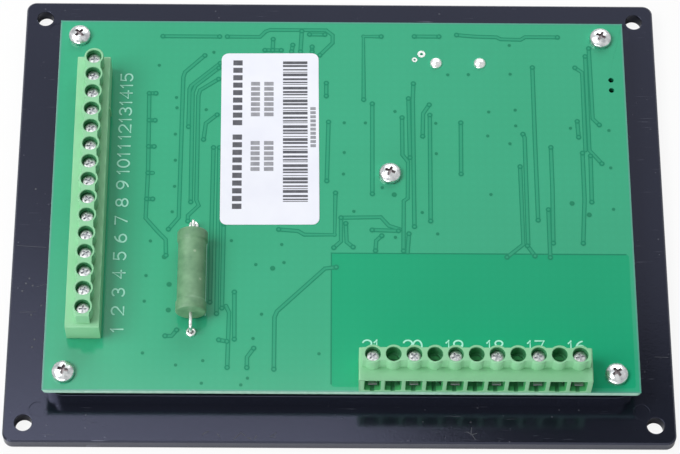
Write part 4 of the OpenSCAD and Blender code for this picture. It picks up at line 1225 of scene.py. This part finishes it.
# Each test point: its place, its pad's diameter and its hole's
TEST_POINTS = [(21, 42.8, 2.0, 0.8), (19.2, 41.1, 1.4, 0.6)]
test_pads = [(x, y, pad) for x, y, pad, hole in TEST_POINTS]
test_holes = [(x, y, hole) for x, y, pad, hole in TEST_POINTS]
lay_dots("tinned_pads", test_pads, TINNED_LEVEL, solder, "solder")
lay_dots("test_holes", test_holes, TEST_HOLE_LEVEL, mask_in_hole)

# %% [markdown]
# ## Label and its print
# The label is a vinyl sticker with rounded corners. Its print is plain bars that stand where lines of print
# would be, and a bar pattern that encodes nothing: each bar's width comes from a short rule.

# %% Label
LABEL_ROUND = 0.04
LABEL_SLANT = 0.5
PRINT_LEVEL = 0.01
label = softened("id_label", "vinyl_label", LABEL_ROUND, vinyl)
fit(label, "label_paper", "id_label")
label_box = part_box("id_label")
LABEL_TOP = label_box[1][2] / MM
LABEL_MID = Vector((middle(label_box, 0), middle(label_box, 1)))


def print_bars(name, bars, finish):
    """Flat printed bars (left, right, low, high) in millimetres from the label's middle."""
    spin = Matrix.Rotation(math.radians(LABEL_SLANT), 2)
    level = (LABEL_TOP + PRINT_LEVEL) * MM
    shape = bmesh.new()
    for x0, x1, y0, y1 in bars:
        flat = [Vector(p) for p in [(x0, y0), (x1, y0), (x1, y1), (x0, y1)]]
        corners = [spin @ p + LABEL_MID for p in flat]
        shape.faces.new([shape.verts.new((p.x * MM, p.y * MM, level)) for p in corners])
    piece = new_piece(name, shape, finish)
    fit(piece, "label_paper")


def word_bars(x0, x1, low, high, letter, space):
    """A printed line as a row of equal blocks, so that it reads as print and spells nothing."""
    count = int((high - low + space) / (letter + space))
    starts = [low + i * (letter + space) for i in range(count)]
    return [(x0, x1, y, y + letter) for y in starts]


THIN_BAR = 0.22
BAR_STEP = 0.2
THIN_SPACE = 0.25
SPACE_STEP = 0.17
LAST_BAR = 0.9


def bar_pattern(x0, x1, low, high):
    """Bars across the label whose widths follow a fixed rule of steps."""
    bars = []
    y = low
    step = 0
    while y < high - LAST_BAR:
        width = THIN_BAR + BAR_STEP * ((step * 5) % 4)
        bars.append((x0, x1, y, y + width))
        y += width + THIN_SPACE + SPACE_STEP * ((step * 7) % 3)
        step += 1
    return bars


# Places of the printed lines on the label, as left, right, low and high; then block length and space
BOLD_LINES = [(-9.5, -7.1, 3.6, 23.2), (-9.5, -7.1, -20.4, 1.2)]
FINE_LINES = [
    (-4.9, -2.6, 6.2, 16.8), (-1.5, 0.9, 6.2, 16.8), (-4.9, -2.6, -9.6, -0.2), (-1.5, 0.9, -9.6, -0.2),
]
SMALL_LINE = (10.3, 11.7, -2.8, 10.0)
BAR_PLACE = (3.3, 9.6, -18.4, 22.6)
BOLD, FINE, SMALL = (1.5, 0.7), (1.1, 0.4), (0.85, 0.35)
bold_print = [bar for line in BOLD_LINES for bar in word_bars(*line, *BOLD)]
fine_print = [bar for line in FINE_LINES for bar in word_bars(*line, *FINE)]
fine_print += word_bars(*SMALL_LINE, *SMALL)
print_bars("label_bold_print", bold_print, print_dark)
print_bars("label_fine_print", fine_print, print_grey)
print_bars("label_bar_pattern", bar_pattern(*BAR_PLACE), print_dark)

# %% [markdown]
# ## Finishes on the other solids
# The rest keeps its CAD shape and gets its finish here: the wire cages and pins, the parts under the board
# and the front film. The light pipes end behind the film, so pale windows are printed where they stand.

# %% Dress the carried solids
FINISHES = {
    "fascia_film": film,
    "key_switches": nylon,
    "indicator_lamps": lamp_resin,
    "light_pipes": acrylic,
    "pin_solder_joints": solder,
}
FINISHES |= dict.fromkeys(["side_clamp_cages", "lower_clamp_cages"], nickel_cage)
FINISHES |= dict.fromkeys(["side_contact_pins", "lower_contact_pins", "resistor_leads"], tinned_wire)
FINISHES |= dict.fromkeys(["microcontroller_legs", "diode_leads"], tinned_wire)
FINISHES |= dict.fromkeys(["timing_crystal", "smoothing_capacitors"], aluminium)
FINISHES |= dict.fromkeys(["microcontroller", "supply_regulator"], epoxy)
FINISHES |= dict.fromkeys(["output_transistors", "protection_diode"], epoxy)
for node, finish in FINISHES.items():
    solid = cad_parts[node]
    for holder in solid.material_slots:
        holder.material = finish
    print(node, "gets", finish.name)

PIPES = 6
WINDOW_D = 5.0
WINDOW_LEVEL = -0.02
film_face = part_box("fascia_film")[0][2] / MM
pipe_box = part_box("light_pipes")
pipe_y = middle(pipe_box, 1)
pipe_xs = row(pipe_box, 0, extent(pipe_box, 1) / 2, PIPES)
window_spots = [(x, pipe_y, WINDOW_D) for x in pipe_xs]
windows = lay_dots("lamp_windows", window_spots, WINDOW_LEVEL, lamp_resin, "fascia_film", film_face)
windows.data.flip_normals()

# %% [markdown]
# ## Floor, room and light
# The part lies on a white table in a bright room. A broad soft lamp to the left lights it, which is why the
# collars shade to the right and the wells are dark on their far side. A low fill in front stands in for the
# white table that goes on towards the camera. Two panels behind show as the pale sheen on the left of the
# lower flange, and a black card beside them keeps the right of the flange dark. Rays that leave the scene
# see white if they come straight from the camera, so the background is white without more light on the
# part.

# %% Stage
# Table, lamps and card are large and stand far off, so these lengths are in metres
TABLE_SIZE = 3.0
TABLE_GAP = 0.0001
CARD_CORNERS = [(0.045, 0.16), (0.3, 0.16), (0.3, 0.29), (0.02, 0.29)]
CARD_Z = 0.72
# Each lamp's place, the point it looks at, its size and its power in watts
LAMPS = {
    "left lamp": ((-0.7, -0.1, 0.95), (0, 0, 0), (0.7, 0.7), 9.5),
    "back lamp": ((0.1, 0.9, 0.6), (0, 0, 0), (1.0, 0.6), 6.0),
    "front fill": ((-0.32, -0.72, 0.12), (0, 0, 0.015), (0.8, 0.2), 3.0),
    "rear panel": ((-0.16, 0.198, 0.7), (-0.16, -0.05, 0), (0.44, 0.085), 0.21),
    "left panel": ((-0.2, 0.28, 0.7), (-0.2, -0.05, 0), (0.2, 0.075), 0.036),
}


def pale_table():
    """White floor that keeps the part's shadow."""
    shape = bmesh.new()
    bmesh.ops.create_grid(shape, x_segments=2, y_segments=2, size=TABLE_SIZE)
    bmesh.ops.translate(shape, verts=shape.verts, vec=(0, 0, cad_box[0][2] - TABLE_GAP))
    material = bpy.data.materials.new("table, matt white")
    material.use_nodes = True
    tree = material.node_tree
    tree.nodes.clear()
    rays = add(tree, "ShaderNodeLightPath").outputs
    seen = merge(tree, "MULTIPLY", rays["Is Camera Ray"], 0.9)
    matt = add(tree, "ShaderNodeBsdfDiffuse", {"Color": hex_colour("#f4f4f4")}).outputs[0]
    glow = add(tree, "ShaderNodeEmission", {"Strength": 1.0}).outputs[0]
    both = add(tree, "ShaderNodeMixShader", {0: seen, 1: matt, 2: glow})
    add(tree, "ShaderNodeOutputMaterial", {"Surface": both.outputs[0]})
    table = new_piece("table", shape, material)


def bright_room(level, seen_level):
    """World light: dim for light, brighter where it is looked at."""
    world = bpy.data.worlds.new("bright room")
    bpy.context.scene.world = world
    world.use_nodes = True
    tree = world.node_tree
    tree.nodes.clear()
    rays = add(tree, "ShaderNodeLightPath").outputs
    mirrored = merge(tree, "MAXIMUM", rays["Is Glossy Ray"], rays["Is Transmission Ray"])
    room = remap(tree, mirrored, 0, 1, level, seen_level)
    strength = remap(tree, rays["Is Camera Ray"], 0, 1, room, 1.0)
    light = add(tree, "ShaderNodeBackground", {"Strength": strength})
    add(tree, "ShaderNodeOutputWorld", {"Surface": light.outputs[0]})


def black_card():
    """A dark card above the rear right that keeps the sheen off the lower right of the part."""
    shape = bmesh.new()
    shape.faces.new([shape.verts.new((x, y, CARD_Z)) for x, y in CARD_CORNERS])
    card = new_piece("black_card", shape, epoxy)
    card.visible_camera = False


def soft_lamp(name, place, aim, size, power):
    """A rectangular soft lamp that looks at a point."""
    data = bpy.data.lights.new(name, "AREA")
    data.shape = "RECTANGLE"
    data.size, data.size_y = size
    data.energy = power
    lamp = bpy.data.objects.new(name, data)
    lamp.location = place
    lamp.rotation_euler = (Vector(aim) - Vector(place)).to_track_quat("-Z", "Y").to_euler()
    bpy.context.collection.objects.link(lamp)


pale_table()
bright_room(level=0.2, seen_level=0.95)
for name, settings in LAMPS.items():
    soft_lamp(name, *settings)
black_card()
bpy.context.scene.view_settings.view_transform = "Standard"

# %% [markdown]
# ## Camera
# The photograph was taken from above and in front, from about 70 cm with a long lens. The angles below
# put the flange's corners, the holes and the terminals where the photograph has them.

# %% Camera
AIM = Vector((0.08, -1.56, 0)) * MM
DISTANCE = 704 * MM
YAW, PITCH, ROLL = (math.radians(a) for a in (-1.30, 63.27, 1.48))
FOCAL_PIXELS = 2758
PHOTO_WIDTH = 680
SENSOR = 36.0


def camera_axes():
    """Right, up and forward of the camera."""
    turn = Matrix.Rotation(YAW, 3, "Z")
    forward = turn @ Vector((0, math.cos(PITCH), -math.sin(PITCH)))
    up = turn @ Vector((0, math.sin(PITCH), math.cos(PITCH)))
    right = turn @ Vector((1, 0, 0))
    level = math.cos(ROLL) * right + math.sin(ROLL) * up
    return level, math.cos(ROLL) * up - math.sin(ROLL) * right, forward


across, upward, forward = camera_axes()
eye = bpy.data.cameras.new("photo camera")
eye.sensor_fit = "HORIZONTAL"
eye.sensor_width = SENSOR
eye.lens = SENSOR * FOCAL_PIXELS / PHOTO_WIDTH
camera = bpy.data.objects.new("photo camera", eye)
place = AIM - DISTANCE * forward
camera.matrix_world = Matrix.Translation(place) @ Matrix((across, upward, -forward)).transposed().to_4x4()
bpy.context.collection.objects.link(camera)
bpy.context.scene.camera = camera
print("camera at", [round(v / MM, 1) for v in place], "lens", round(eye.lens, 1))
